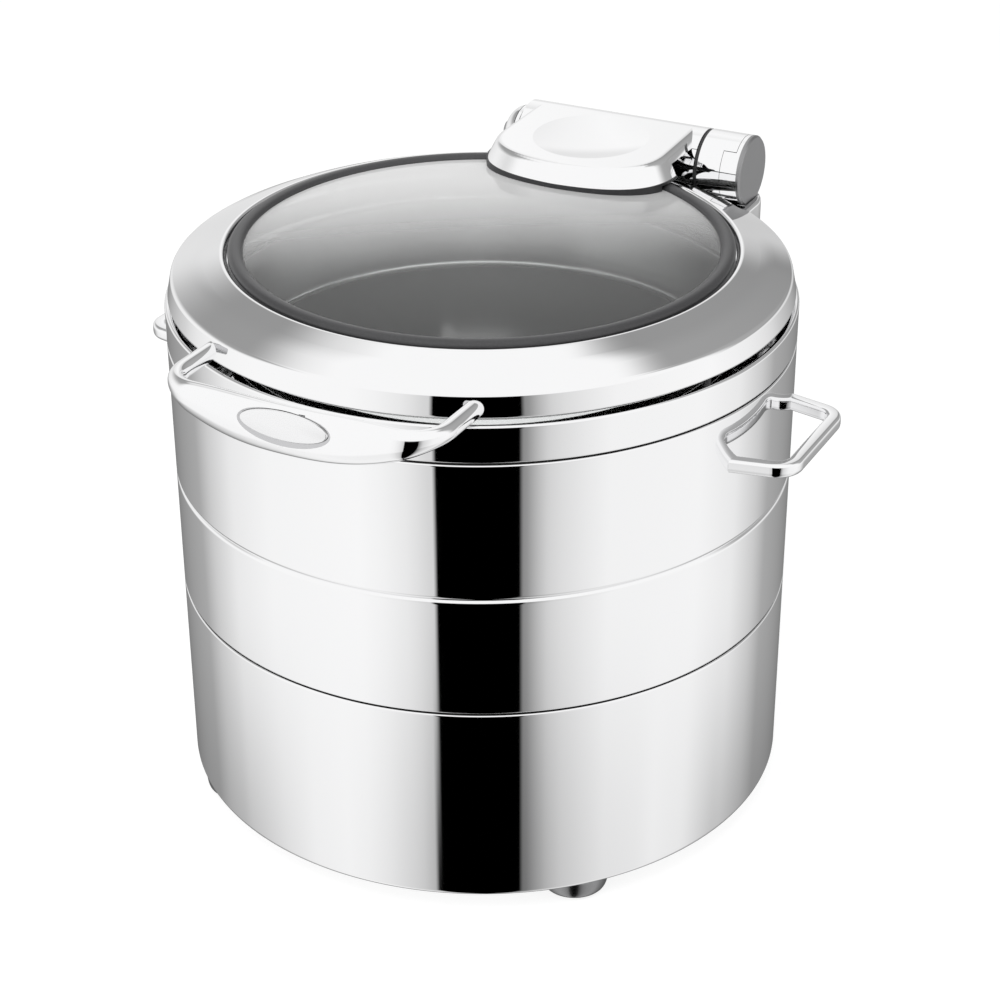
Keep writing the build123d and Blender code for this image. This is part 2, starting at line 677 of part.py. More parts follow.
with BuildPart() as lid_ring:
    add(
        revolved_sheet(
            [
                (LID_FLANGE_R, flange_mid_z),
                (LID_CREST_R - 2.1, flange_mid_z),
                (LID_CREST_R, crest_z),
                (crown_r, crown_z),
                (edge_mid_r, skirt_top_z),
                (lid_mid_r, hem_mid_z),
                (lid_mid_r - 2.8, hem_mid_z),
            ],
            [1.2, 1.8, 120.0, 3.2, 1.0],
            LID_SHEET,
        )
    )
    revolve(axis=Axis.Z)
    with BuildSketch(Plane.XY.offset(hem_z - 1)):
        with Locations((0, BODY_R + 10)):
            Rectangle(2 * NOTCH_HALF, 92, align=(Align.CENTER, Align.MAX))
        Circle(NOTCH_R, mode=Mode.SUBTRACT)
        fillet(vertices().group_by(Axis.Y)[0], NOTCH_CORNER_R)
        with Locations((0, NOTCH_Y)):
            Rectangle(2 * sqrt(NOTCH_R**2 - NOTCH_Y**2), 40, align=(Align.CENTER, Align.MIN))
    extrude(amount=LID_CREST_RISE + 10, mode=Mode.SUBTRACT)
    with BuildSketch(Plane.XZ.offset(BODY_R)):
        with Locations(*handle_places):
            Circle(2.5 + FIT)
    extrude(amount=-40, mode=Mode.SUBTRACT)
    with BuildSketch(Plane.XY.offset(hem_z)):
        with Locations(*rear_screw_places):
            Circle(2.5 + FIT)
    extrude(amount=LID_CREST_RISE + 10, mode=Mode.SUBTRACT)
pieces["lid_ring"] = lid_ring.part

with BuildPart() as window_gasket:
    slot_top_z = flange_mid_z + LID_SHEET / 2 + FIT
    slot_low_z = flange_mid_z - LID_SHEET / 2 - FIT
    glass_low_z = glass_z - GLASS - FIT
    glass_top_z = glass_z + 2 * GAP
    with BuildSketch(Plane.XZ):
        with BuildLine():
            ThreePointArc(
                (GASKET_INNER_R, glass_top_z + 0.6),
                ((GASKET_INNER_R + GASKET_OUTER_R) / 2, crest_z + 2.6),
                (GASKET_OUTER_R, crest_z - 1.0),
            )
            Polyline(
                (GASKET_OUTER_R, crest_z - 1.0),
                (GASKET_OUTER_R - 1.2, slot_top_z),
                (LID_FLANGE_R - 0.5, slot_top_z),
                (LID_FLANGE_R - 0.5, slot_low_z),
                (GASKET_OUTER_R - 1.5, slot_low_z),
                (GASKET_OUTER_R - 1.5, slot_low_z - 3),
                (GASKET_INNER_R + 1, slot_low_z - 3),
                (GASKET_INNER_R + 1, glass_low_z),
                (WINDOW_R + GAP, glass_low_z),
                (WINDOW_R + GAP, glass_top_z),
                (GASKET_INNER_R, glass_top_z),
                (GASKET_INNER_R, glass_top_z + 0.6),
            )
        make_face()
    revolve(axis=Axis.Z)
pieces["window_gasket"] = window_gasket.part

boss_places = [(-34, 121), (34, 121), (0, 112)]  # the bolts that clamp the cover to the glass

with BuildPart() as window_glass:
    with BuildSketch(Plane.XZ):
        with BuildLine():
            RadiusArc((0, glass_z + GLASS_RISE), (WINDOW_R, glass_z), WINDOW_R**2 / (2 * GLASS_RISE))
            Line((WINDOW_R, glass_z), (WINDOW_R, glass_z - GLASS))
            RadiusArc(
                (0, glass_z + GLASS_RISE - GLASS),
                (WINDOW_R, glass_z - GLASS),
                WINDOW_R**2 / (2 * GLASS_RISE),
            )
            Line((0, glass_z + GLASS_RISE - GLASS), (0, glass_z + GLASS_RISE))
        make_face()
    revolve(axis=Axis.Z)
    with BuildSketch(Plane.XY.offset(glass_z + GLASS_RISE + 1)):
        with Locations(*boss_places):
            Circle(5.0)
    extrude(amount=-3 * GLASS, mode=Mode.SUBTRACT)
pieces["window_glass"] = window_glass.part


def cover_outline(inset):
    """The plan of the hinge cover: a bluff round front and straight sides, as far back as the barrel."""
    half = BARREL_HALF - inset
    front = COVER_FRONT_Y + inset
    with BuildSketch() as outline:
        with BuildLine():
            Bezier(
                (-half, COVER_SIDE_Y),
                (-half, COVER_SIDE_Y - 0.45 * (COVER_SIDE_Y - front)),
                (-0.86 * half, front + 2),
                (0, front),
            )
            Bezier(
                (0, front),
                (0.86 * half, front + 2),
                (half, COVER_SIDE_Y - 0.45 * (COVER_SIDE_Y - front)),
                (half, COVER_SIDE_Y),
            )
            Polyline((half, COVER_SIDE_Y), (half, HINGE_Y + 40), (-half, HINGE_Y + 40), (-half, COVER_SIDE_Y))
        make_face()
    return outline.sketch


wing_z = hinge_z + WING_RISE
cover_front_z = cover_z + COVER_FRONT_HEIGHT
cavity_z = cover_front_z - COVER_WALL
rear_pad_z = crest_z - 12

# The space under the ring's outer skin, which the handle's arms and the cover's pads rest on.
with BuildPart() as under_ring:
    with BuildSketch(Plane.XZ):
        with BuildLine():
            FilletPolyline(
                (LID_CREST_R, crest_z),
                (crown_r, crown_z),
                (edge_mid_r, skirt_top_z),
                (lid_mid_r, hem_mid_z),
                radius=[120.0, 3.2],
            )
            Polyline((lid_mid_r, hem_mid_z), (LID_CREST_R, hem_mid_z), (LID_CREST_R, crest_z))
        make_face()
        offset(amount=LID_SHEET / 2 + FIT)
    revolve(axis=Axis.Z)

# The cover's top is a plane from its front edge up to the barrel, tangent to the barrel.
front_y = COVER_FRONT_Y - 5
to_axis = Vector(HINGE_Y - front_y, hinge_z - cover_front_z, 0)
top_length = sqrt(to_axis.length**2 - BARREL_R**2)
top_slope = atan2(to_axis.Y, to_axis.X) + asin(BARREL_R / to_axis.length)
tangent_y = front_y + top_length * cos(top_slope)
tangent_z = cover_front_z + top_length * sin(top_slope)
dish_r = (THUMB_R**2 + THUMB_DEPTH**2) / (2 * THUMB_DEPTH)
thumb_z = cover_front_z + (THUMB_Y - front_y) * tan(top_slope)

with BuildPart() as hinge_cover:
    with BuildSketch(Plane.XY.offset(cover_z)):
        add(cover_outline(0))
    with BuildSketch(Plane.XY.offset(cover_z + 18)):
        add(cover_outline(9))
    loft()
    with BuildSketch(Plane.YZ.offset(-BARREL_HALF)):
        with BuildLine():
            Polyline(
                (front_y, cover_z),
                (front_y, cover_front_z),
                (tangent_y, tangent_z),
                (tangent_y, cover_z),
                close=True,
            )
        make_face()
    extrude(amount=2 * BARREL_HALF, mode=Mode.INTERSECT)
    top_face = hinge_cover.faces().filter_by(lambda f: f.normal_at().Z > 0.9)[0]
    fillet(top_face.edges().sort_by(Axis.Y)[:-1], COVER_EDGE_R)
    with BuildSketch(Plane.XY.offset(cover_z)):
        for side in (1, -1):
            with Locations((side * WAIST_X, COVER_SIDE_Y)):
                Rectangle(40, 60, align=(Align.MIN if side > 0 else Align.MAX, Align.MIN))
        fillet(vertices().filter_by(lambda v: v.Y < COVER_SIDE_Y + 1 and abs(v.X) < WAIST_X + 1), 9)
    extrude(amount=wing_z - cover_z, mode=Mode.SUBTRACT)
    with BuildSketch(Plane.YZ.offset(-BARREL_HALF + BUSH_FLANGE + GAP)):
        with Locations((HINGE_Y, hinge_z)):
            Circle(BARREL_R)
    extrude(amount=2 * (BARREL_HALF - BUSH_FLANGE - GAP))
    with BuildSketch(Plane.YZ.offset(-BARREL_HALF)):
        with Locations((HINGE_Y, hinge_z)):
            Circle(BARREL_R)
        with Locations((HINGE_Y, wing_z)):
            Rectangle(4 * BARREL_R, BARREL_R, align=(Align.CENTER, Align.MIN), mode=Mode.INTERSECT)
    extrude(amount=2 * BARREL_HALF)
    with Locations((0, THUMB_Y, thumb_z + dish_r - THUMB_DEPTH)):
        Sphere(dish_r, mode=Mode.SUBTRACT)
    with BuildSketch(Plane.XY.offset(cover_z)):
        add(cover_outline(COVER_WALL))
        Rectangle(2 * BARREL_HALF, 2 * (COVER_SIDE_Y - COVER_WALL), mode=Mode.INTERSECT)
        with Locations(*boss_places):
            Circle(7.5, mode=Mode.SUBTRACT)
    extrude(amount=cavity_z - cover_z, mode=Mode.SUBTRACT)
    with BuildSketch(Plane.XY.offset(cover_z + 1)):
        with Locations(*rear_screw_places):
            Circle(6.5)
    extrude(amount=crest_z - 10 - cover_z)
    add(under_ring.part, mode=Mode.SUBTRACT)
    with BuildSketch(Plane.YZ.offset(-BARREL_HALF)):
        with Locations((HINGE_Y, hinge_z)):
            Circle(BUSH_R + FIT)
    extrude(amount=2 * BARREL_HALF, mode=Mode.SUBTRACT)
    with BuildSketch(Plane.XY.offset(cover_z - 15)):
        with Locations(*boss_places, *rear_screw_places):
            Circle(2.5 + FIT)
    extrude(amount=22, mode=Mode.SUBTRACT)
pieces["hinge_cover"] = hinge_cover.part

for side, name in ((1, "right"), (-1, "left")):
    with BuildPart() as hinge_bush:
        with BuildSketch(Plane.YZ.offset(side * (BARREL_HALF - BUSH_FLANGE))):
            with Locations((HINGE_Y, hinge_z)):
                Circle(BARREL_R)
            with Locations((HINGE_Y, wing_z - GAP)):
                Rectangle(
                    4 * BARREL_R, 4 * BARREL_R, align=(Align.CENTER, Align.MAX), mode=Mode.INTERSECT
                )
        extrude(amount=side * BUSH_FLANGE)
        with BuildSketch(Plane.YZ.offset(side * BARREL_HALF)):
            with Locations((HINGE_Y, hinge_z)):
                Circle(BUSH_R)
        extrude(amount=-side * DRIVE_LENGTH)
        with BuildSketch(Plane.YZ.offset(side * (BARREL_HALF - DRIVE_LENGTH))):
            with Locations((HINGE_Y, hinge_z)):
                Rectangle(SHAFT_SQUARE + 2 * FIT, SHAFT_SQUARE + 2 * FIT)
        extrude(amount=side * (DRIVE_LENGTH - 1), mode=Mode.SUBTRACT)
        with BuildSketch(Plane.YZ.offset(side * BARREL_HALF)):
            with Locations((HINGE_Y, hinge_z)):
                Circle(SHAFT_R + FIT)
        extrude(amount=-side * 2, mode=Mode.SUBTRACT)
    pieces[f"hinge_bush_{name}"] = hinge_bush.part

glass_seal_r = GASKET_INNER_R - GAP

with BuildPart() as cover_gasket:
    with BuildSketch(Plane.XY.offset(cover_z)):
        add(cover_outline(-0.8))
        add(cover_outline(4.5), mode=Mode.SUBTRACT)
        with Locations((0, COVER_SIDE_Y)):
            Rectangle(4 * BARREL_HALF, 4 * BARREL_HALF, align=(Align.CENTER, Align.MAX), mode=Mode.INTERSECT)
    extrude(amount=-1.8)
    with BuildSketch(Plane.XY.offset(cover_z)):
        add(cover_outline(-0.8))
        add(cover_outline(4.5), mode=Mode.SUBTRACT)
        Circle(glass_seal_r, mode=Mode.INTERSECT)
    extrude(amount=glass_z - cover_z)
    add(window_glass.part, mode=Mode.SUBTRACT)
pieces["cover_gasket"] = cover_gasket.part

plate_top_z = glass_z - GLASS - 1.0

with BuildPart() as clamp_gasket:
    with BuildSketch(Plane.XY.offset(plate_top_z)):
        add(cover_outline(5))
        Circle(glass_seal_r - 3, mode=Mode.INTERSECT)
        with Locations(*boss_places):
            Circle(5.0, mode=Mode.SUBTRACT)
    extrude(amount=GLASS)
    add(window_glass.part, mode=Mode.SUBTRACT)
    gasket_body = clamp_gasket.solids().sort_by(Axis.Z)[0]
pieces["clamp_gasket"] = gasket_body

with BuildPart() as clamp_plate:
    with BuildSketch(Plane.XY.offset(plate_top_z)):
        add(cover_outline(4))
        Circle(glass_seal_r - 1.5, mode=Mode.INTERSECT)
        fillet(vertices().group_by(Axis.Y)[-1], 5)
        with Locations(*boss_places):
            Circle(2.5 + FIT, mode=Mode.SUBTRACT)
    extrude(amount=-2.0)
    fillet(clamp_plate.faces().sort_by(Axis.Z)[0].outer_wire().edges(), 0.8)
pieces["clamp_plate"] = clamp_plate.part

with BuildPart() as bolt_bushes:
    with BuildSketch(Plane.XY.offset(cover_z)):
        with Locations(*boss_places):
            Circle(7.5)
            Circle(2.5 + FIT, mode=Mode.SUBTRACT)
    extrude(amount=-5.2)
    with BuildSketch(Plane.XY.offset(cover_z)):
        with Locations(*boss_places):
            Circle(5.0 - FIT)
            Circle(2.5 + FIT, mode=Mode.SUBTRACT)
    extrude(amount=plate_top_z - cover_z)
    add(window_glass.part, mode=Mode.SUBTRACT)
pieces["bolt_bushes"] = bolt_bushes.part

with BuildPart() as clamp_bolts:
    with BuildSketch(Plane.XY.offset(plate_top_z - 2)):
        with Locations(*boss_places):
            Circle(5)
    extrude(amount=-3)
    chamfer(clamp_bolts.edges().group_by(Axis.Z)[0], 1.0)
    with BuildSketch(Plane.XY.offset(plate_top_z - 2)):
        with Locations(*boss_places):
            Circle(2.5)
    extrude(amount=cover_z + 6 - plate_top_z + 2)
pieces["clamp_bolts"] = clamp_bolts.part

with BuildPart() as rear_cover_screws:
    with BuildSketch(Plane.XY.offset(rear_pad_z)):
        with Locations(*rear_screw_places):
            Circle(4.5)
    extrude(amount=-3)
    with BuildSketch(Plane.XY.offset(rear_pad_z)):
        with Locations(*rear_screw_places):
            Circle(2.5)
    extrude(amount=cover_z + 5 - rear_pad_z)
pieces["rear_cover_screws"] = rear_cover_screws.part

with BuildPart() as rear_cover_washers:
    with BuildSketch(Plane.XY.offset(rear_pad_z)):
        with Locations(*rear_screw_places):
            Circle(6.5)
            Circle(2.5 + FIT, mode=Mode.SUBTRACT)
    extrude(amount=10)
    with BuildSketch(Plane.XZ):
        with BuildLine():
            FilletPolyline(
                (LID_CREST_R - 6, rear_pad_z),
                (LID_CREST_R - 6, crest_z + 1.0),
                (LID_CREST_R, crest_z),
                (crown_r, crown_z),
                (edge_mid_r, skirt_top_z),
                radius=[1.0, 1.8, 120.0],
            )
            Polyline((edge_mid_r, skirt_top_z), (edge_mid_r, rear_pad_z), (LID_CREST_R - 6, rear_pad_z))
        make_face()
        offset(amount=-LID_SHEET / 2 - FIT)
    revolve(axis=Axis.Z, mode=Mode.INTERSECT)
pieces["rear_cover_washers"] = rear_cover_washers.part

# ---------------------------------------------------------------- the lid handle
arm_root_y = -sqrt(lid_mid_r**2 - HANDLE_HALF**2) + ROOT_SINK
grip_y = HANDLE_FRONT_Y + GRIP_THICKNESS / 2 * cos(radians(GRIP_LEAN))
bow_corner_y = grip_y - GRIP_BOW_R * (1 / cos(atan2(GRIP_BOW, HANDLE_HALF)) - 1)


def grip_section(point, tangent):
    """The handle's section at a point of its middle line: round in the arms, a tall lens at the middle."""
    share = max(0.0, 1 - (abs(point.X) / GRIP_HALF) ** 2) ** 1.2
    half_height = (HANDLE_BAR + (GRIP_HEIGHT - HANDLE_BAR) * share) / 2
    half_thickness = (HANDLE_BAR + (GRIP_THICKNESS - HANDLE_BAR) * share) / 2
    drop = (half_height - HANDLE_BAR / 2) * (1 - GRIP_RISE)
    outward_dir = Vector(tangent.Y, -tangent.X, 0)
    up = Vector(0, 0, 1) * cos(radians(GRIP_LEAN * share)) - outward_dir * sin(radians(GRIP_LEAN * share))
    section_plane = Plane(origin=point - Vector(0, 0, drop), x_dir=up, z_dir=tangent)
    with BuildSketch(section_plane) as section:
        Ellipse(half_height, half_thickness)
    return section.sketch


grip_drop = (GRIP_HEIGHT - HANDLE_BAR) / 2 * (1 - GRIP_RISE)
face_normal = Vector(0, -cos(radians(GRIP_LEAN)), sin(radians(GRIP_LEAN)))
face_up = Vector(0, sin(radians(GRIP_LEAN)), cos(radians(GRIP_LEAN)))
dish_plane = Plane(
    origin=Vector(0, grip_y, handle_z - grip_drop)
    + face_normal * (GRIP_THICKNESS / 2 - DISH_DEPTH)
    + face_up * MEDALLION_RISE,
    x_dir=(1, 0, 0),
    z_dir=face_normal,
)

with BuildPart() as lid_handle:
    with BuildLine(Plane.XY.offset(handle_z)) as bail:
        FilletPolyline(
            (-HANDLE_HALF, arm_root_y),
            (-HANDLE_HALF, bow_corner_y + GRIP_BOW),
            (0, bow_corner_y),
            (HANDLE_HALF, bow_corner_y + GRIP_BOW),
            (HANDLE_HALF, arm_root_y),
            radius=[HANDLE_BEND_R, GRIP_BOW_R, HANDLE_BEND_R],
        )
    for i in range(GRIP_STATIONS + 1):
        along = i / GRIP_STATIONS
        add(grip_section(bail.line @ along, bail.line % along))
    loft()
    add(under_ring.part, mode=Mode.SUBTRACT)
    with BuildSketch(Plane.XZ.offset(-arm_root_y)):
        with Locations(*handle_places):
            Circle(2.5 + FIT)
    extrude(amount=ROOT_SINK + 12, mode=Mode.SUBTRACT)
    with BuildSketch(dish_plane):
        Ellipse(MEDALLION_A + GAP, MEDALLION_B + GAP)
    extrude(amount=DISH_DEPTH + 4, taper=-55, mode=Mode.SUBTRACT)
pieces["lid_handle"] = lid_handle.part

with BuildPart() as handle_medallion:
    with BuildSketch(dish_plane):
        Ellipse(MEDALLION_A, MEDALLION_B)
    extrude(amount=1.6)
    fillet(handle_medallion.faces().sort_by(Axis.Y)[0].edges(), 0.6)
pieces["handle_medallion"] = handle_medallion.part

with BuildPart() as handle_washers:
    with BuildSketch(Plane.XZ.offset(-arm_root_y)):
        with Locations(*handle_places):
            Circle(5.0)
            Circle(2.5 + FIT, mode=Mode.SUBTRACT)
    extrude(amount=ROOT_SINK + 4)
    with BuildSketch(Plane.XZ):
        with BuildLine():
            FilletPolyline(
                (edge_mid_r - 30, skirt_top_z),
                (edge_mid_r, skirt_top_z),
                (lid_mid_r, hem_mid_z),
                (lid_mid_r - 30, hem_mid_z),
                radius=[3.2, 1.0],
            )
            Line((edge_mid_r - 30, skirt_top_z), (lid_mid_r - 30, hem_mid_z))
        make_face()
        offset(amount=-LID_SHEET / 2 - FIT)
    revolve(axis=Axis.Z, mode=Mode.INTERSECT)
pieces["handle_washers"] = handle_washers.part

with BuildPart() as handle_screws:
    with BuildSketch(Plane.XZ.offset(-arm_root_y)):
        with Locations(*handle_places):
            Circle(4.5)
    extrude(amount=-3)
    with BuildSketch(Plane.XZ.offset(-arm_root_y)):
        with Locations(*handle_places):
            Circle(2.5)
    extrude(amount=ROOT_SINK + 10)
pieces["handle_screws"] = handle_screws.part

# ---------------------------------------------------------------- one file for each piece
os.makedirs("parts", exist_ok=True)
for name, piece in pieces.items():
    piece.label = name
    export_step(piece, f"parts/{name}.step")
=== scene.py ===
"""Looks of the round buffet chafer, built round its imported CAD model.

Metres, in the frame of the CAD model: +Z up, -Y the front with the lid handle, +Y the back with the
hinge. The pressed shells and some fittings are built here as smooth meshes, so that the polished steel
mirrors the room without facets. Several of them differ in form from the CAD, and the left hinge end
is shorter than there. The other pieces keep their CAD mesh.
"""

import json
from math import atan2, cos, pi, radians, sin, sqrt, tan

import bmesh
import bpy
import numpy as np
from mathutils import Matrix, Vector


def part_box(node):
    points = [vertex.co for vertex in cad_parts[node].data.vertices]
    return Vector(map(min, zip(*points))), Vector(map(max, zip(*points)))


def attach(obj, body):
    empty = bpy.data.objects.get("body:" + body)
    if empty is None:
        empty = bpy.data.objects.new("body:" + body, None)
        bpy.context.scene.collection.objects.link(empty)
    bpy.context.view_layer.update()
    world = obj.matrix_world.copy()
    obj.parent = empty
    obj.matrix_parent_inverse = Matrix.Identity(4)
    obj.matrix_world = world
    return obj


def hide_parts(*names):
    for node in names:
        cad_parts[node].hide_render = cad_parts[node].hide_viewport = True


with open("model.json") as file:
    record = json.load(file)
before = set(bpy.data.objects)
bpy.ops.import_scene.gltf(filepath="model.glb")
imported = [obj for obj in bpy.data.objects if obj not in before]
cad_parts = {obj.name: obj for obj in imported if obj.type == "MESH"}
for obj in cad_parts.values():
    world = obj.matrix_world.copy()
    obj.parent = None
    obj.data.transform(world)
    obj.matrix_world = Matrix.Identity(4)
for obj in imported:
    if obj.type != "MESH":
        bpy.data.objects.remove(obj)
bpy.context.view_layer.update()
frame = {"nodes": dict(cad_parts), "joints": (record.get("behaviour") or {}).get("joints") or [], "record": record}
NODES = frame["nodes"]
MM = 0.001

# ---------------------------------------------------------------- sizes, from the frame
STAND_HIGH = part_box("stand_shell")[1]
CASING_LOW, CASING_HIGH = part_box("casing")
COLLAR_LOW, COLLAR_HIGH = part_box("collar")
RING_LOW, RING_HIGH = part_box("lid_ring")
GLASS_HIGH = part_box("window_glass")[1]
FOOD_LOW, FOOD_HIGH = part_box("food_pan")
HINGE = next(Vector(j["pos_m"]) for j in frame["joints"] if j["name"] == "lid_hinge")

BODY_R = 200 * MM
SHEET = 1.5 * MM
PAN_SHEET = 1.0 * MM
LID_SHEET = 1.2 * MM
SHOULDER_Z = CASING_LOW.z
COLLAR_Z = COLLAR_HIGH.z + 1.2 * MM  # the rolled rim stands a little proud of the plain solid
HEM_Z = RING_LOW.z
LEDGE_Z = COLLAR_HIGH.z - 8 * MM
WALL_R = BODY_R - SHEET / 2
LAP_R = BODY_R - 1.5 * SHEET - 0.6 * MM
LID_R = RING_HIGH.x
CREST_Z = RING_HIGH.z - LID_SHEET / 2
EDGE_R = 1.0 * MM
JOINT_GAP = 1.2 * MM  # between two shells, as a fine dark line

SEGMENTS = 256
ARC_STEPS = 7
SUPPORT = 0.15 * MM


# ---------------------------------------------------------------- mesh helpers
def rounded_line(points, radii, arc_steps=ARC_STEPS):
    """A polyline with rounded corners, as (x, y, normal x, normal y) rows.

    Each straight run gets two more points close to its ends, so that smooth shading stays true on it.
    """
    points = [np.array(p, float) for p in points]
    if not hasattr(radii, "__len__"):
        radii = [radii] * (len(points) - 2)
    rows = []

    def add_run(a, b):
        along = (b - a) / np.linalg.norm(b - a)
        normal = (along[1], -along[0])
        inset = min(SUPPORT, np.linalg.norm(b - a) / 4)
        for p in (a, a + along * inset, b - along * inset, b):
            rows.append((p[0], p[1], *normal))

    start = points[0]
    for before, corner, after, radius in zip(points, points[1:], points[2:], radii):
        one = (before - corner) / np.linalg.norm(before - corner)
        two = (after - corner) / np.linalg.norm(after - corner)
        half = np.arccos(np.clip(one @ two, -1, 1)) / 2
        reach = radius / tan(half)
        add_run(start, corner + one * reach)
        centre = corner + (one + two) / np.linalg.norm(one + two) * radius / sin(half)
        first = corner + one * reach - centre
        last = corner + two * reach - centre
        turn = atan2(first[0] * last[1] - first[1] * last[0], first @ last)
        side = 1 if turn > 0 else -1
        steps = max(3, int(arc_steps * abs(turn) / (pi / 2)))
        for i in range(1, steps):
            a = turn * i / steps
            spoke = np.array([cos(a) * first[0] - sin(a) * first[1], sin(a) * first[0] + cos(a) * first[1]])
            rows.append((*(centre + spoke), *(side * spoke / radius)))
        start = corner + two * reach
    add_run(start, points[-1])
    return np.array(rows)


def sheet_profile(points, radii, wall):
    """The closed outline of a bent sheet: its rounded middle line, moved half the wall to both sides."""
    middle = rounded_line(points, radii)
    near = middle[:, :2] + middle[:, 2:] * wall / 2
    far = middle[:, :2] - middle[:, 2:] * wall / 2
    return np.vstack([near, far[::-1]])


def rounded_path(points, radii, step):
    """Points of a polyline with rounded corners at even steps, as (x, y, outward x, outward y) rows."""
    rows = rounded_line(points, radii, arc_steps=60)
    along = np.concatenate([[0], np.cumsum(np.linalg.norm(np.diff(rows[:, :2], axis=0), axis=1))])
    marks = np.linspace(0, along[-1], int(along[-1] / step))
    return np.column_stack([np.interp(marks, along, rows[:, k]) for k in range(4)])


def eased(profile, radius):
    """The same outline with a rounded first corner."""
    corner = profile[0]
    ahead = profile[3] - corner
    back = profile[-1] - corner
    u = ahead / np.linalg.norm(ahead)
    v = back / np.linalg.norm(back)
    kept = [p for p in profile[1:] if np.linalg.norm(p - corner) > radius * 1.01]
    turn = np.linspace(0, pi / 2, ARC_STEPS)
    arc = [corner + radius * (u * (1 - cos(a)) + v * (1 - sin(a))) for a in turn]
    return np.vstack([corner + v * (radius + SUPPORT), arc, corner + u * (radius + SUPPORT), kept])


def new_object(name, verts, faces, sharp_degrees=35):
    """A smooth-shaded mesh object whose edges are sharp where its faces meet at more than an angle."""
    mesh = bpy.data.meshes.new(name)
    mesh.from_pydata([tuple(v) for v in verts], [], [tuple(f) for f in faces])
    mesh.validate()
    work = bmesh.new()
    work.from_mesh(mesh)
    bmesh.ops.remove_doubles(work, verts=work.verts, dist=1e-7)
    bmesh.ops.recalc_face_normals(work, faces=work.faces)
    for face in work.faces:
        face.smooth = True
    for edge in work.edges:
        edge.smooth = len(edge.link_faces) == 2 and edge.calc_face_angle(0) < radians(sharp_degrees)
    work.to_mesh(mesh)
    work.free()
    piece = bpy.data.objects.new(name, mesh)
    bpy.context.scene.collection.objects.link(piece)
    return piece


def turned(name, profile, segments=SEGMENTS):
    """A closed profile of (radius, height) turned about Z."""
    count = len(profile)
    verts = []
    for i in range(segments):
        a = 2 * pi * i / segments
        for r, z in profile:
            verts.append((r * cos(a), r * sin(a), z))
    faces = []
    for i in range(segments):
        j = (i + 1) % segments
        for k in range(count):
            m = (k + 1) % count
            faces.append((i * count + k, j * count + k, j * count + m, i * count + m))
    return new_object(name, verts, faces)


def swept(name, rings):
    """A solid through closed rings of points, one after another, with flat ends."""
    count = len(rings[0])
    verts = [point for ring in rings for point in ring]
    faces = []
    for i in range(len(rings) - 1):
        for k in range(count):
            m = (k + 1) % count
            faces.append((i * count + k, i * count + m, (i + 1) * count + m, (i + 1) * count + k))
    last = (len(rings) - 1) * count
    faces += [tuple(range(count - 1, -1, -1)), tuple(range(last, last + count))]
    return new_object(name, verts, faces)


def repeated(piece, places):
    """Shows the piece's mesh once at each of the places."""
    work = bmesh.new()
    for place in places:
        copy = piece.data.copy()
        copy.transform(place)
        work.from_mesh(copy)
        bpy.data.meshes.remove(copy)
    work.to_mesh(piece.data)
    work.free()


def prism(name, outline, low, high):
    """A block that stands on an outline of (x, y) points, which run counterclockwise."""
    count = len(outline)
    verts = [(x, y, low) for x, y in outline] + [(x, y, high) for x, y in outline]
    faces = [(i, (i + 1) % count, count + (i + 1) % count, count + i) for i in range(count)]
    faces += [tuple(range(count - 1, -1, -1)), tuple(range(count, 2 * count))]
    return new_object(name, verts, faces)


def cut(piece, cutter, sharp_degrees=35):
    """Takes the cutter's volume out of a piece and removes the cutter."""
    tool = piece.modifiers.new("cut", "BOOLEAN")
    tool.operation = "DIFFERENCE"
    tool.solver = "EXACT"
    tool.object = cutter
    result = piece.evaluated_get(bpy.context.evaluated_depsgraph_get())
    mesh = bpy.data.meshes.new_from_object(result)
    piece.modifiers.clear()
    piece.data = mesh
    bpy.data.objects.remove(cutter)
    work = bmesh.new()
    work.from_mesh(mesh)
    for face in work.faces:
        face.smooth = True
    for edge in work.edges:
        edge.smooth = len(edge.link_faces) == 2 and edge.calc_face_angle(0) < radians(sharp_degrees)
    work.to_mesh(mesh)
    work.free()


# ---------------------------------------------------------------- materials
def node_material(name):
    material = bpy.data.materials.new(name)
    material.use_nodes = True
    tree = material.node_tree
    return material, tree, tree.nodes["Principled BSDF"]


def math_node(tree, operation, one, two=None):
    node = tree.nodes.new("ShaderNodeMath")
    node.operation = operation
    for socket, value in zip(node.inputs, (one, two)):
        if value is None:
            continue
        if isinstance(value, (int, float)):
            socket.default_value = value
        else:
            tree.links.new(value, socket)
    return node.outputs[0]


# Painted light and shade on the pan's steel: a dark floor with a paler patch, a wall darker to the right, and low
# on the wall a bright ring below a dark band.
PAN_FLOOR_RISE = (1 * MM, 2.5 * MM)  # above the pan's underside, where its floor gives way to its wall
PAN_PATCH_Y = -60 * MM  # the middle of the floor's painted paler patch
PAN_PATCH_REACH = 0.17
PAN_FLOOR_TONES = (0.15, 0.02)  # painted shade, in the middle of that patch and at its reach
PAN_SIDES = (-150 * MM, 165 * MM)
PAN_SIDE_TONES = (0.84, 0.3)  # painted shade of the wall, at the left and at the right
PAN_WALL_TONES = ((0.11, 1.0), (0.15, 0.42), (0.24, 0.7), (0.45, 1.0), (0.8, 1.0))  # painted light and shade, by share of height
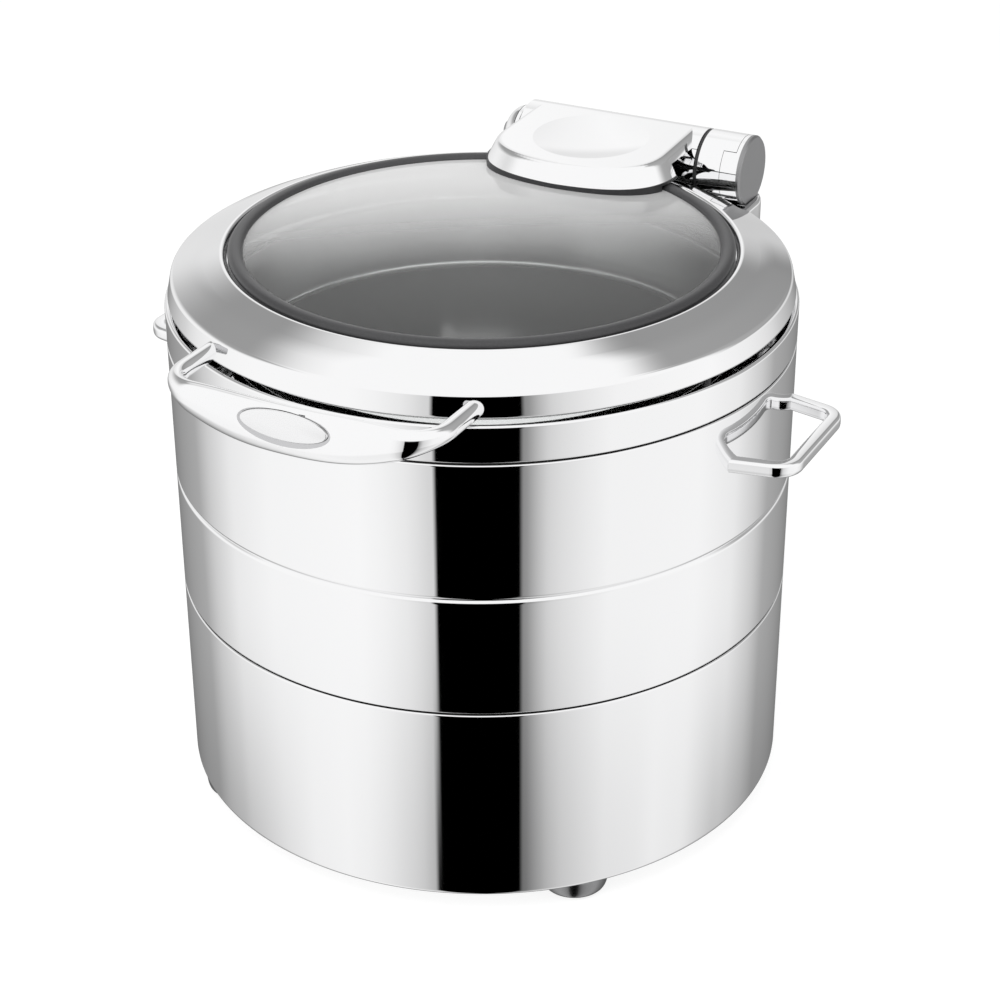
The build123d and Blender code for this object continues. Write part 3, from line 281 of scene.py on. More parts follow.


def pan_metal(name):
    """Pan steel whose tone holds painted light and shade: on the wall by height and side, on the floor by
    distance.
    """
    material = metal(name, (0.8, 0.8, 0.81), 0.14, wave=0.01)
    tree = material.node_tree
    coords = tree.nodes.new("ShaderNodeTexCoord")
    axes = tree.nodes.new("ShaderNodeSeparateXYZ")
    tree.links.new(coords.outputs["Object"], axes.inputs["Vector"])
    height = tree.nodes.new("ShaderNodeMapRange")
    height.inputs["From Min"].default_value = FOOD_LOW.z + PAN_FLOOR_RISE[0]
    height.inputs["From Max"].default_value = FOOD_LOW.z + PAN_FLOOR_RISE[1]
    tree.links.new(axes.outputs["Z"], height.inputs["Value"])
    spread = tree.nodes.new("ShaderNodeVectorMath")
    spread.operation = "DISTANCE"
    spread.inputs[1].default_value = (0, PAN_PATCH_Y, FOOD_LOW.z)
    tree.links.new(coords.outputs["Object"], spread.inputs[0])
    floor_shade_tone = tree.nodes.new("ShaderNodeMapRange")
    floor_shade_tone.inputs["From Max"].default_value = PAN_PATCH_REACH
    floor_shade_tone.inputs["To Min"].default_value = PAN_FLOOR_TONES[0]
    floor_shade_tone.inputs["To Max"].default_value = PAN_FLOOR_TONES[1]
    tree.links.new(spread.outputs["Value"], floor_shade_tone.inputs["Value"])
    side = tree.nodes.new("ShaderNodeMapRange")
    side.inputs["From Min"].default_value = PAN_SIDES[0]
    side.inputs["From Max"].default_value = PAN_SIDES[1]
    side.inputs["To Min"].default_value = PAN_SIDE_TONES[0]
    side.inputs["To Max"].default_value = PAN_SIDE_TONES[1]
    tree.links.new(axes.outputs["X"], side.inputs["Value"])
    up_wall = tree.nodes.new("ShaderNodeMapRange")
    up_wall.inputs["From Min"].default_value = FOOD_LOW.z
    up_wall.inputs["From Max"].default_value = FOOD_HIGH.z
    tree.links.new(axes.outputs["Z"], up_wall.inputs["Value"])
    wall_light_tone = tree.nodes.new("ShaderNodeValToRGB")
    points = wall_light_tone.color_ramp.elements
    while len(points) < len(PAN_WALL_TONES):
        points.new(1.0)
    for point, (share, level) in zip(points, PAN_WALL_TONES):
        point.position = share
        point.color = (level, level, level, 1)
    tree.links.new(up_wall.outputs["Result"], wall_light_tone.inputs["Fac"])
    wall_tone = math_node(tree, "MULTIPLY", wall_light_tone.outputs["Color"], side.outputs["Result"])
    tone = tree.nodes.new("ShaderNodeMix")
    tree.links.new(height.outputs["Result"], tone.inputs[0])
    tree.links.new(floor_shade_tone.outputs["Result"], tone.inputs[2])
    tree.links.new(wall_tone, tone.inputs[3])
    tree.links.new(tone.outputs[0], tree.nodes["Principled BSDF"].inputs["Base Color"])
    return material


def metal(name, colour, roughness, grain=0.0, grain_scale=(400, 400, 400), wave=0.0):
    """Polished or brushed steel: a roughness that varies a little, a fine grain and a faint press wave."""
    material, tree, shader = node_material(name)
    shader.inputs["Base Color"].default_value = (*colour, 1)
    shader.inputs["Metallic"].default_value = 1.0
    coords = tree.nodes.new("ShaderNodeTexCoord")
    smudge = tree.nodes.new("ShaderNodeTexNoise")
    smudge.inputs["Scale"].default_value = 14
    smudge.inputs["Detail"].default_value = 4
    tree.links.new(coords.outputs["Object"], smudge.inputs["Vector"])
    rough = tree.nodes.new("ShaderNodeMapRange")
    rough.inputs["From Min"].default_value = 0.3
    rough.inputs["From Max"].default_value = 0.7
    rough.inputs["To Min"].default_value = roughness * 0.8
    rough.inputs["To Max"].default_value = roughness * 1.25
    tree.links.new(smudge.outputs["Fac"], rough.inputs["Value"])
    tree.links.new(rough.outputs["Result"], shader.inputs["Roughness"])
    normal = None
    if grain:
        scale = tree.nodes.new("ShaderNodeMapping")
        scale.inputs["Scale"].default_value = grain_scale
        tree.links.new(coords.outputs["Object"], scale.inputs["Vector"])
        fine = tree.nodes.new("ShaderNodeTexNoise")
        fine.inputs["Scale"].default_value = 1
        fine.inputs["Detail"].default_value = 3
        tree.links.new(scale.outputs["Vector"], fine.inputs["Vector"])
        bump = tree.nodes.new("ShaderNodeBump")
        bump.inputs["Strength"].default_value = grain
        bump.inputs["Distance"].default_value = 0.0002
        tree.links.new(fine.outputs["Fac"], bump.inputs["Height"])
        normal = bump
    if wave:
        broad = tree.nodes.new("ShaderNodeTexNoise")
        broad.inputs["Scale"].default_value = 5
        broad.inputs["Detail"].default_value = 1
        tree.links.new(coords.outputs["Object"], broad.inputs["Vector"])
        bump = tree.nodes.new("ShaderNodeBump")
        bump.inputs["Strength"].default_value = wave
        bump.inputs["Distance"].default_value = 0.002
        tree.links.new(broad.outputs["Fac"], bump.inputs["Height"])
        if normal:
            tree.links.new(normal.outputs["Normal"], bump.inputs["Normal"])
        normal = bump
    if normal:
        tree.links.new(normal.outputs["Normal"], shader.inputs["Normal"])
    return material


def dull(name, colour, roughness, grain=0.2, grain_scale=900, shift=0.15):
    """Rubber, plastic or fibre: a colour that shifts a little and a fine matt grain."""
    material, tree, shader = node_material(name)
    coords = tree.nodes.new("ShaderNodeTexCoord")
    noise = tree.nodes.new("ShaderNodeTexNoise")
    noise.inputs["Scale"].default_value = grain_scale
    noise.inputs["Detail"].default_value = 4
    tree.links.new(coords.outputs["Object"], noise.inputs["Vector"])
    ramp = tree.nodes.new("ShaderNodeValToRGB")
    ramp.color_ramp.elements[0].position = 0.3
    ramp.color_ramp.elements[0].color = (*[c * (1 - shift) for c in colour], 1)
    ramp.color_ramp.elements[1].position = 0.7
    ramp.color_ramp.elements[1].color = (*[min(1, c * (1 + shift)) for c in colour], 1)
    tree.links.new(noise.outputs["Fac"], ramp.inputs["Fac"])
    tree.links.new(ramp.outputs["Color"], shader.inputs["Base Color"])
    shader.inputs["Roughness"].default_value = roughness
    bump = tree.nodes.new("ShaderNodeBump")
    bump.inputs["Strength"].default_value = grain
    bump.inputs["Distance"].default_value = 0.0002
    tree.links.new(noise.outputs["Fac"], bump.inputs["Height"])
    tree.links.new(bump.outputs["Normal"], shader.inputs["Normal"])
    return material


GLASS_IOR = 1.27  # real glass has about 1.5, which hides the pan's floor behind a reflection
HAZE_ROUGHNESS = 0.03
SHEEN_AWAY = (-0.55, 0.84, 0)  # the way in which the painted pale sheen grows, to the left and the hinge
SHEEN_EDGES = (-55 * MM, 150 * MM)  # how far that way it starts and is full
SHEEN_MOST = 0.88


def clear_glass(name):
    """The lid's glass, with a faint tint, a wiping haze and a painted reflection: a pale sheen towards the hinge.
    """
    material, tree, shader = node_material(name)
    shader.inputs["Base Color"].default_value = (0.96, 0.975, 0.97, 1)
    shader.inputs["Transmission Weight"].default_value = 1.0
    shader.inputs["IOR"].default_value = GLASS_IOR
    coords = tree.nodes.new("ShaderNodeTexCoord")
    haze = tree.nodes.new("ShaderNodeTexNoise")
    haze.inputs["Scale"].default_value = 9
    haze.inputs["Detail"].default_value = 5
    tree.links.new(coords.outputs["Object"], haze.inputs["Vector"])
    rough = tree.nodes.new("ShaderNodeMapRange")
    rough.inputs["To Min"].default_value = 0.0
    rough.inputs["To Max"].default_value = HAZE_ROUGHNESS
    tree.links.new(haze.outputs["Fac"], rough.inputs["Value"])
    tree.links.new(rough.outputs["Result"], shader.inputs["Roughness"])
    # Painted reflection: an opaque pale sheen mixed into the glass, more of it towards the hinge.
    painted_sheen = tree.nodes.new("ShaderNodeBsdfPrincipled")
    painted_sheen.inputs["Base Color"].default_value = (0.92, 0.92, 0.92, 1)
    painted_sheen.inputs["Roughness"].default_value = 0.06
    away = tree.nodes.new("ShaderNodeVectorMath")
    away.operation = "DOT_PRODUCT"
    away.inputs[1].default_value = SHEEN_AWAY
    tree.links.new(coords.outputs["Object"], away.inputs[0])
    share = tree.nodes.new("ShaderNodeMapRange")
    share.interpolation_type = "SMOOTHSTEP"
    share.inputs["From Min"].default_value = SHEEN_EDGES[0]
    share.inputs["From Max"].default_value = SHEEN_EDGES[1]
    share.inputs["To Max"].default_value = SHEEN_MOST
    tree.links.new(away.outputs["Value"], share.inputs["Value"])
    glass_and_sheen = tree.nodes.new("ShaderNodeMixShader")
    tree.links.new(share.outputs["Result"], glass_and_sheen.inputs["Fac"])
    tree.links.new(shader.outputs[0], glass_and_sheen.inputs[1])
    tree.links.new(painted_sheen.outputs[0], glass_and_sheen.inputs[2])
    tree.links.new(glass_and_sheen.outputs[0], tree.nodes["Material Output"].inputs["Surface"])
    return material


MATERIALS = {
    "polished_steel": metal("polished_steel", (0.93, 0.93, 0.935), 0.03, wave=0.02),
    "cast_chrome": metal("cast_chrome", (0.94, 0.94, 0.945), 0.04, wave=0.03),
    # Painted shade: the feet, under the body, get a darker copy of the body's steel.
    "foot_steel": metal("foot_steel", (0.3, 0.3, 0.305), 0.2),
    "medallion_steel": metal("medallion_steel", (0.9, 0.9, 0.905), 0.12, grain=0.05),
    "pan_steel": pan_metal("pan_steel"),
    "satin_steel": metal("satin_steel", (0.62, 0.62, 0.63), 0.32, grain=0.15),
    "cap_steel": metal("cap_steel", (0.36, 0.36, 0.365), 0.42, grain=0.2),
    "screw_steel": metal("screw_steel", (0.6, 0.6, 0.61), 0.25, grain=0.1),
    "can_steel": metal("can_steel", (0.68, 0.68, 0.68), 0.3, grain=0.1),
    "black_rubber": dull("black_rubber", (0.03, 0.03, 0.032), 0.45),
    "gasket_rubber": dull("gasket_rubber", (0.05, 0.05, 0.052), 0.36),
    "black_plastic": dull("black_plastic", (0.025, 0.025, 0.026), 0.4),
    # Painted shade: a near-black matt colour laid on faces in the joints between shells and at the medallion's
    # foot.
    "painted_shade": dull("painted_shade", (0.01, 0.01, 0.01), 0.6),
    "wick": dull("wick", (0.75, 0.72, 0.65), 0.9, grain=0.8, grain_scale=500),
    "clear_glass": clear_glass("clear_glass"),
}
SLOT_OF = {s["node"]: s["material_slot"] for s in frame["record"]["subparts"]}


def dress(piece, slot):
    piece.data.materials.clear()
    piece.data.materials.append(MATERIALS[slot])


def paint_joint_shade(piece, low_z, high_z, inner_r, outer_r):
    """Painted shade: dark faces in a band of heights and radii, for the shade in a joint between two shells."""
    piece.data.materials.append(MATERIALS["painted_shade"])
    for face in piece.data.polygons:
        radius = sqrt(face.center.x**2 + face.center.y**2)
        if low_z < face.center.z < high_z and inner_r < radius < outer_r:
            face.material_index = 1


def stand_for(piece, node, body):
    """The piece is shown in place of a CAD node, rides with its body and takes its material slot."""
    dress(piece, SLOT_OF[node])
    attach(piece, body)
    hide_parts(node)


for node, thing in NODES.items():
    dress(thing, SLOT_OF[node])

# ---------------------------------------------------------------- the feet
FOOT_HEIGHT = 13.8 * MM
FOOT_R = 22 * MM
PAD_R = 17.5 * MM
PAD_HEIGHT = 4 * MM
foot_flank = [
    (FOOT_R - 2.5 * MM * (1 - cos(a)), FOOT_HEIGHT - 2 * MM - 10.3 * MM * sin(a))
    for a in np.linspace(0, pi / 2, 10)
]
foot = turned(
    "foot_skins",
    [
        (0, PAD_HEIGHT),
        (0, FOOT_HEIGHT),
        (FOOT_R - 0.5 * MM, FOOT_HEIGHT),
        (FOOT_R, FOOT_HEIGHT - 0.5 * MM),
        *foot_flank,
        (PAD_R + 0.1 * MM, 1.5 * MM),
        (PAD_R + 0.1 * MM, PAD_HEIGHT),
    ],
    64,
)
pad = turned(
    "pad_skins",
    [(0, 0), (PAD_R - 0.8 * MM, 0), (PAD_R, 0.8 * MM), (PAD_R, PAD_HEIGHT), (0, PAD_HEIGHT)],
    64,
)
foot_places = [
    Matrix.Rotation(radians(46.5 + 90 * i), 4, "Z") @ Matrix.Translation((BODY_R - 24 * MM, 0, 0))
    for i in range(4)
]
for piece, node in ((foot, "stand_feet"), (pad, "foot_pads")):
    repeated(piece, foot_places)
    stand_for(piece, node, "base")
# Painted shade: the feet take the darker steel, for the shade under the body.
foot.data.materials[0] = MATERIALS["foot_steel"]

# ---------------------------------------------------------------- the stand, the casing and the collar
stand = turned(
    "stand_skin",
    sheet_profile(
        [
            (150 * MM, FOOT_HEIGHT + SHEET / 2),
            (WALL_R, FOOT_HEIGHT + SHEET / 2),
            (WALL_R, SHOULDER_Z - SHEET / 2),
            (LAP_R, SHOULDER_Z - SHEET / 2),
            (LAP_R, STAND_HIGH.z),
        ],
        [2.5 * MM, 0.6 * MM, 1.0 * MM],
        SHEET,
    ),
)
stand_for(stand, "stand_shell", "base")
# Painted shade in the joint on the stand's ledge, under the casing's hem.
paint_joint_shade(stand, SHOULDER_Z - 0.1 * MM, SHOULDER_Z + 2 * MM, 0, WALL_R + 0.2 * MM)

casing_top_z = CASING_HIGH.z - 12 * MM
bead_z = SHOULDER_Z + 79.4 * MM
bead_depth = 1.5 * MM
casing_profile = eased(
    sheet_profile(
        [
            (WALL_R, SHOULDER_Z + JOINT_GAP),
            (WALL_R, bead_z - bead_depth - 0.4 * MM),
            (WALL_R - bead_depth, bead_z),
            (WALL_R, bead_z + bead_depth + 0.4 * MM),
            (WALL_R, casing_top_z - SHEET / 2),
            (LAP_R, casing_top_z - SHEET / 2),
            (LAP_R, CASING_HIGH.z),
        ],
        [2.2 * MM, 0.9 * MM, 2.2 * MM, 0.6 * MM, 1.0 * MM],
        SHEET,
    ),
    EDGE_R,
)
casing = turned("casing_skin", casing_profile)
stand_for(casing, "casing", "base")
# Painted shade in the casing's joints: at its top lap under the collar, and along its hem.
paint_joint_shade(casing, casing_top_z - 0.1 * MM, casing_top_z + 2 * MM, 0, WALL_R + 0.2 * MM)
paint_joint_shade(casing, SHOULDER_Z, SHOULDER_Z + JOINT_GAP + 0.1 * MM, 0, BODY_R - 0.7 * MM)

collar_profile = eased(
    sheet_profile(
        [
            (WALL_R, COLLAR_LOW.z + JOINT_GAP),
            (WALL_R, COLLAR_Z - SHEET / 2),
            (190 * MM, COLLAR_Z - SHEET / 2),
            (190 * MM, LEDGE_Z - SHEET / 2),
            (178 * MM, LEDGE_Z - SHEET / 2),
        ],
        [1.0 * MM, 1.4 * MM, 1.4 * MM],
        SHEET,
    ),
    EDGE_R,
)
collar = turned("collar_skin", collar_profile)
stand_for(collar, "collar", "base")

# ---------------------------------------------------------------- the pans
food_rim_z = FOOD_HIGH.z - PAN_SHEET / 2
food_pan = turned(
    "food_pan_skin",
    sheet_profile(
        [
            (FOOD_HIGH.x, food_rim_z),
            (168.5 * MM, food_rim_z),
            (162 * MM, FOOD_LOW.z + PAN_SHEET / 2),
            (0.5 * MM, FOOD_LOW.z + PAN_SHEET / 2),
        ],
        [3.0 * MM, 6.0 * MM],
        PAN_SHEET,
    ),
)
stand_for(food_pan, "food_pan", "base")

# ---------------------------------------------------------------- the lid's ring and its gasket
LID_MID_R = LID_R - LID_SHEET / 2
SKIRT_TOP_R = LID_MID_R - 2.7 * MM
SKIRT_TOP_Z = HEM_Z + LID_SHEET / 2 + 13.3 * MM
CREST_R = 162.4 * MM
FLANGE_Z = CREST_Z - 4.7 * MM
crown_r = (CREST_R + SKIRT_TOP_R) / 2
crown_z = (CREST_Z + SKIRT_TOP_Z) / 2 + 0.7 * MM
ring = turned(
    "ring_skin",
    sheet_profile(
        [
            (CREST_R - 7.4 * MM, FLANGE_Z),
            (CREST_R - 2.1 * MM, FLANGE_Z),
            (CREST_R, CREST_Z),
            (crown_r, crown_z),
            (SKIRT_TOP_R, SKIRT_TOP_Z),
            (LID_MID_R, HEM_Z + LID_SHEET / 2),
            (LID_MID_R - 2.8 * MM, HEM_Z + LID_SHEET / 2),
        ],
        [1.2 * MM, 1.8 * MM, 120 * MM, 3.2 * MM, 1.0 * MM],
        LID_SHEET,
    ),
)

# The notch behind the barrel: as wide as the bracket with play, its corners rounded.
notch_half = 117 * MM
notch_r = BODY_R - 14 * MM
notch_y = BODY_R - 25 * MM
corner_r = 4 * MM
step_half = sqrt(notch_r**2 - notch_y**2)


def notch_outline():
    reach = notch_half - corner_r
    corner_y = sqrt((notch_r + corner_r) ** 2 - reach**2)
    start = atan2(corner_y, reach)
    corner_angles = np.linspace(0, start - pi, 9)
    corner = [(reach + corner_r * cos(a), corner_y + corner_r * sin(a)) for a in corner_angles]
    arc = [(notch_r * cos(a), notch_r * sin(a)) for a in np.linspace(start, atan2(notch_y, step_half), 40)]
    right = [(notch_half, BODY_R + 10 * MM), *corner, *arc[1:]]
    return right + [(-x, y) for x, y in reversed(right)]


cut(ring, prism("notch_tool", notch_outline(), HEM_Z - 1 * MM, CREST_Z + 10 * MM))
stand_for(ring, "lid_ring", "lid")


lip_r = 149.5 * MM
lip_outer_r = CREST_R - 3.2 * MM
lip_mid_r = (lip_r + lip_outer_r) / 2
gasket_top_z = CREST_Z + 2.6 * MM
rise = [
    (lip_mid_r - (lip_mid_r - lip_r) * cos(a), gasket_top_z - 3.4 * MM * (1 - sin(a)))
    for a in np.linspace(0.15, pi - 0.15, 15)
]
gasket = turned(
    "gasket_skin",
    [
        (lip_r, GLASS_HIGH.z - 8 * MM),
        *rise,
        (lip_outer_r, CREST_Z - 1 * MM),
        (lip_outer_r - 1.2 * MM, FLANGE_Z),
        (lip_outer_r - 1.2 * MM, FLANGE_Z - 2 * MM),
        (lip_r, FLANGE_Z - 2 * MM),
    ],
)
stand_for(gasket, "window_gasket", "lid")
gasket.data.materials[0] = MATERIALS["gasket_rubber"]

BUMPER_R = 2.5 * MM
bumper = turned(
    "bumper_skins",
    [
        (0, COLLAR_Z),
        (BUMPER_R, COLLAR_Z),
        (BUMPER_R, HEM_Z - 0.6 * MM),
        (BUMPER_R - 0.3 * MM, HEM_Z - 0.3 * MM),
        (0, HEM_Z - 0.3 * MM),
    ],
    32,
)
bumper_places = [
    Matrix.Rotation(radians(angle), 4, "Z") @ Matrix.Translation((LID_R - 3.7 * MM, 0, 0))
    for angle in (-20, -160, 150, 30)
]
repeated(bumper, bumper_places)
stand_for(bumper, "lid_bumpers", "base")

# ---------------------------------------------------------------- the hinge's bracket
BRACKET_HALF = 107 * MM
BRACKET_BACK = HINGE.y + 27 * MM
BRACKET_FRONT = 137 * MM
BRACKET_CORNER_R = 30 * MM
BRACKET_EDGE_R = 2.5 * MM
BRACKET_LOW_Z = 318 * MM
BRACKET_TOP_Z = 348 * MM
TROUGH_R = 24.6 * MM


def bracket_ring(inset, z):
    """The bracket's outline, with its two back corners rounded."""
    half, back, corner = BRACKET_HALF - inset, BRACKET_BACK - inset, BRACKET_CORNER_R - inset
    turn = np.linspace(0, pi / 2, 14)
    right = [(half - corner * (1 - cos(a)), back - corner * (1 - sin(a)), z) for a in turn]
    left = [(-x, y, z) for x, y, z in reversed(right)]
    return [(half, BRACKET_FRONT, z), *right, *left, (-half, BRACKET_FRONT, z)]


top_bend = [
    (BRACKET_EDGE_R * (1 - cos(a)), BRACKET_TOP_Z - BRACKET_EDGE_R * (1 - sin(a)))
    for a in np.linspace(0, pi / 2, 6)
]
bracket = swept("bracket_skin", [bracket_ring(inset, z) for inset, z in [(0, BRACKET_LOW_Z), *top_bend]])
body_profile = [
    (0, 250 * MM),
    (BODY_R + 0.1 * MM, 250 * MM),
    (BODY_R + 0.1 * MM, COLLAR_Z),
    (190 * MM, COLLAR_Z),
    (190 * MM, 400 * MM),
    (0, 400 * MM),
]
cut(bracket, turned("body_tool", body_profile))
trough_profile = [(0, -69 * MM), (TROUGH_R, -69 * MM), (TROUGH_R, 102 * MM), (0, 102 * MM)]
trough = turned("trough_tool", trough_profile, 128)
trough.data.transform(Matrix.Translation((0, HINGE.y, HINGE.z)) @ Matrix.Rotation(radians(90), 4, "Y"))
cut(bracket, trough)
stand_for(bracket, "hinge_bracket", "base")

# ---------------------------------------------------------------- the hinge's short left end
LEFT_END_R = 19.5 * MM
LEFT_COLLAR_X = 69.7 * MM
LEFT_KNUCKLE_X = 73 * MM
LEFT_CAP_X = 83 * MM
DOME_X = 71 * MM
DOME_REACH = 14 * MM
LEFT_CAP_R = 7.5 * MM
to_left = Matrix.Translation((0, HINGE.y, HINGE.z)) @ Matrix.Rotation(radians(-90), 4, "Y")


def left_end(node, body, profile):
    """A piece of (radius, distance to the left) turned about the hinge's axis, in place of a CAD node."""
    piece = turned(node + "_skin", profile, 96)
    piece.data.transform(to_left)
    stand_for(piece, node, body)


def disc(inner_r, outer_r, start, end, bevel=0.3 * MM):
    return [(inner_r, start), (outer_r - bevel, start), (outer_r, start + bevel), (outer_r, end - bevel),
            (outer_r - bevel, end), (inner_r, end)]


dome = [
    (LEFT_END_R * sqrt(1 - ((x - DOME_X) / DOME_REACH) ** 2), x)
    for x in np.linspace(LEFT_KNUCKLE_X, LEFT_CAP_X, 14)
]
left_end("hinge_washer_left", "base", disc(5.5 * MM, LEFT_END_R - 0.9 * MM, 67.15 * MM, 69.55 * MM))
left_end(
    "hinge_stop_collar_left",
    "base",
    disc(11.1 * MM, LEFT_END_R, LEFT_COLLAR_X, LEFT_KNUCKLE_X - 0.3 * MM),
)
left_end(
    "hinge_knuckle_left",
    "base",
    [
        (11.1 * MM, LEFT_KNUCKLE_X),
        *dome,
        (5.6 * MM, LEFT_CAP_X),
        (5.6 * MM, 80.9 * MM),
        (11.1 * MM, 79.9 * MM),
    ],
)
left_end("hinge_end_cap_left", "base", disc(0, LEFT_CAP_R, LEFT_CAP_X + 0.1 * MM, 86 * MM, 1.2 * MM))
left_end("hinge_damper_left", "base", disc(5.5 * MM, 11 * MM, 69.8 * MM, 79.7 * MM))
left_end("hinge_shaft_left", "lid", disc(0, 5.3 * MM, 45 * MM, 78 * MM))

# ---------------------------------------------------------------- the handles
RING_SIDES = 40


def section(centre, up, out, half_height, half_width, power=2.0):
    """A closed ring of points: an ellipse at power 2, squarer with rounded corners at more."""
    ring = []
    for a in np.linspace(0, 2 * pi, RING_SIDES, endpoint=False):
        c, s = cos(a), sin(a)
        high = half_height * np.sign(s) * abs(s) ** (2 / power)
        wide = half_width * np.sign(c) * abs(c) ** (2 / power)
        ring.append(tuple(centre + up * high + out * wide))
    return ring


HANDLE_HALF = 87.5 * MM
BAR_R = 5.4 * MM
GRIP_HALF = 88 * MM
GRIP_HALF_HEIGHT = 14.4 * MM
GRIP_HALF_THICKNESS = 5 * MM
GRIP_LEAN = radians(11)
GRIP_BOW = 9.5 * MM
GRIP_BOW_R = 300 * MM
GRIP_RISE = 0.23
handle_z = HEM_Z + 11.1 * MM - BAR_R
grip_y = -BODY_R - 38.5 * MM + GRIP_HALF_THICKNESS * cos(GRIP_LEAN)
bow_corner_y = grip_y - GRIP_BOW_R * (1 / cos(atan2(GRIP_BOW, HANDLE_HALF)) - 1)
root_y = -165 * MM


def grip_ring(x, y, out_x, out_y):
    share = max(0.0, 1 - (abs(x) / GRIP_HALF) ** 3) ** 1.2
    half_height = BAR_R + (GRIP_HALF_HEIGHT - BAR_R) * share
    half_thickness = BAR_R + (GRIP_HALF_THICKNESS - BAR_R) * share
    drop = (half_height - BAR_R) * (1 - GRIP_RISE)
    outward = Vector((out_x, out_y, 0))
    up = Vector((0, 0, 1)) * cos(GRIP_LEAN * share) - outward * sin(GRIP_LEAN * share)
    out = outward * cos(GRIP_LEAN * share) + Vector((0, 0, 1)) * sin(GRIP_LEAN * share)
    return section(Vector((x, y, handle_z - drop)), up, out, half_height, half_thickness)


bail = rounded_path(
    [
        (-HANDLE_HALF, root_y),
        (-HANDLE_HALF, bow_corner_y + GRIP_BOW),
        (0, bow_corner_y),
        (HANDLE_HALF, bow_corner_y + GRIP_BOW),
        (HANDLE_HALF, root_y),
    ],
    [24 * MM, GRIP_BOW_R, 24 * MM],
    2 * MM,
)
handle = swept("handle_skin", [grip_ring(*row) for row in bail])
ring_trim = [
    (50 * MM, 300 * MM),
    (LID_MID_R, 300 * MM),
    (LID_MID_R, HEM_Z),
    (SKIRT_TOP_R, SKIRT_TOP_Z),
    (50 * MM, SKIRT_TOP_Z),
]
cut(handle, turned("ring_tool", ring_trim))

MEDALLION_A = 28.5 * MM
MEDALLION_B = 8.2 * MM
DISH_DEPTH = 2.2 * MM
DISH_GAP = 0.4 * MM
DISH_FLARE = 2.4
DISH_FLOOR_BAND = 0.05 * MM
DISH_FLANK_TOP = 4 * MM
DISH_REACH = 1.1  # faces inside this many times the dish's oval, squared, belong to it
# Slots of the handle's painted shade: the dish's flank and the line at the medallion's foot.
FLANK_SHADE_SLOT = 1
CREASE_SHADE_SLOT = 2
face_out = Vector((0, -cos(GRIP_LEAN), sin(GRIP_LEAN)))
face_up = Vector((0, sin(GRIP_LEAN), cos(GRIP_LEAN)))
grip_drop = (GRIP_HALF_HEIGHT - BAR_R) * (1 - GRIP_RISE)
dish = Vector((0, grip_y, handle_z - grip_drop)) + face_out * (GRIP_HALF_THICKNESS - DISH_DEPTH)
dish += face_up * 3 * MM
across = Vector((1, 0, 0))


def oval(depth, grow):
    return section(dish + face_out * depth, face_up, across, MEDALLION_B + grow, MEDALLION_A + grow)


dish_rings = [oval(depth, DISH_GAP + DISH_FLARE * depth) for depth in (0, 3 * MM, 6 * MM)]
cut(handle, swept("dish_tool", dish_rings))
stand_for(handle, "lid_handle", "lid")
medallion_rings = [oval(0, 0), oval(1.0 * MM, 0), oval(1.4 * MM, -0.2 * MM), oval(1.6 * MM, -0.6 * MM)]
medallion = swept("medallion_skin", medallion_rings)
stand_for(medallion, "handle_medallion", "lid")
for piece in (handle, medallion):
    piece.visible_glossy = False

# Painted shade in the dish: its flank takes the darker satin steel, and a dark line is painted where the medallion
# meets its floor.
handle.data.materials.append(MATERIALS["satin_steel"])
handle.data.materials.append(MATERIALS["painted_shade"])
for face in handle.data.polygons:
    spot = face.center - dish
    depth, height = spot.dot(face_out), spot.dot(face_up)
    grow = DISH_GAP + DISH_FLARE * depth
    reach = (spot.x / (MEDALLION_A + grow)) ** 2 + (height / (MEDALLION_B + grow)) ** 2
    outward = face.normal.x * spot.x / MEDALLION_A**2 + face.normal.dot(face_up) * height / MEDALLION_B**2
    if abs(depth) < DISH_FLOOR_BAND and reach < DISH_REACH:
        face.material_index = CREASE_SHADE_SLOT
    elif 0 < depth < DISH_FLANK_TOP and reach < DISH_REACH and outward < 0:
        face.material_index = FLANK_SHADE_SLOT

SIDE_BAR = 4.5 * MM
SIDE_ROOT = (192 * MM, 48.5 * MM)  # each way out from the body's axis, and from the handle's middle
SIDE_BOW = (227.5 * MM, 41 * MM)
side_z = 282 * MM
for side, node in ((1, "side_handle_right"), (-1, "side_handle_left")):
    bow = rounded_path(
        [
            (side * SIDE_ROOT[0], -side * SIDE_ROOT[1]),
            (side * SIDE_BOW[0], -side * SIDE_BOW[1]),
            (side * SIDE_BOW[0], side * SIDE_BOW[1]),
            (side * SIDE_ROOT[0], side * SIDE_ROOT[1]),
        ],
        13 * MM,
        1.5 * MM,
    )
    up = Vector((0, 0, 1))
    rings = [
        section(Vector((x, y, side_z)), up, Vector((ox, oy, 0)), SIDE_BAR, SIDE_BAR, 3.6)
        for x, y, ox, oy in bow
    ]
    stand_for(swept(node + "_skin", rings), node, "base")


# ---------------------------------------------------------------- the camera
CAMERA_AZIMUTH = 28.0  # degrees to the right of the front
CAMERA_YAW = 0.445
CAMERA_TILT = 28.205
CAMERA_ROLL = -0.228
CAMERA_REACH = 1393.0 * MM  # from the body's axis, level
CAMERA_HEIGHT = 934.5 * MM
CAMERA_LENS = 85.65
CAMERA_SENSOR = 36


def seen_direction(azimuth, elevation):
    """The unit vector out from the object at an azimuth from the camera's side, and an elevation."""
    a = radians(azimuth + CAMERA_AZIMUTH)
    e = radians(elevation)
    return Vector((sin(a) * cos(e), -cos(a) * cos(e), sin(e)))


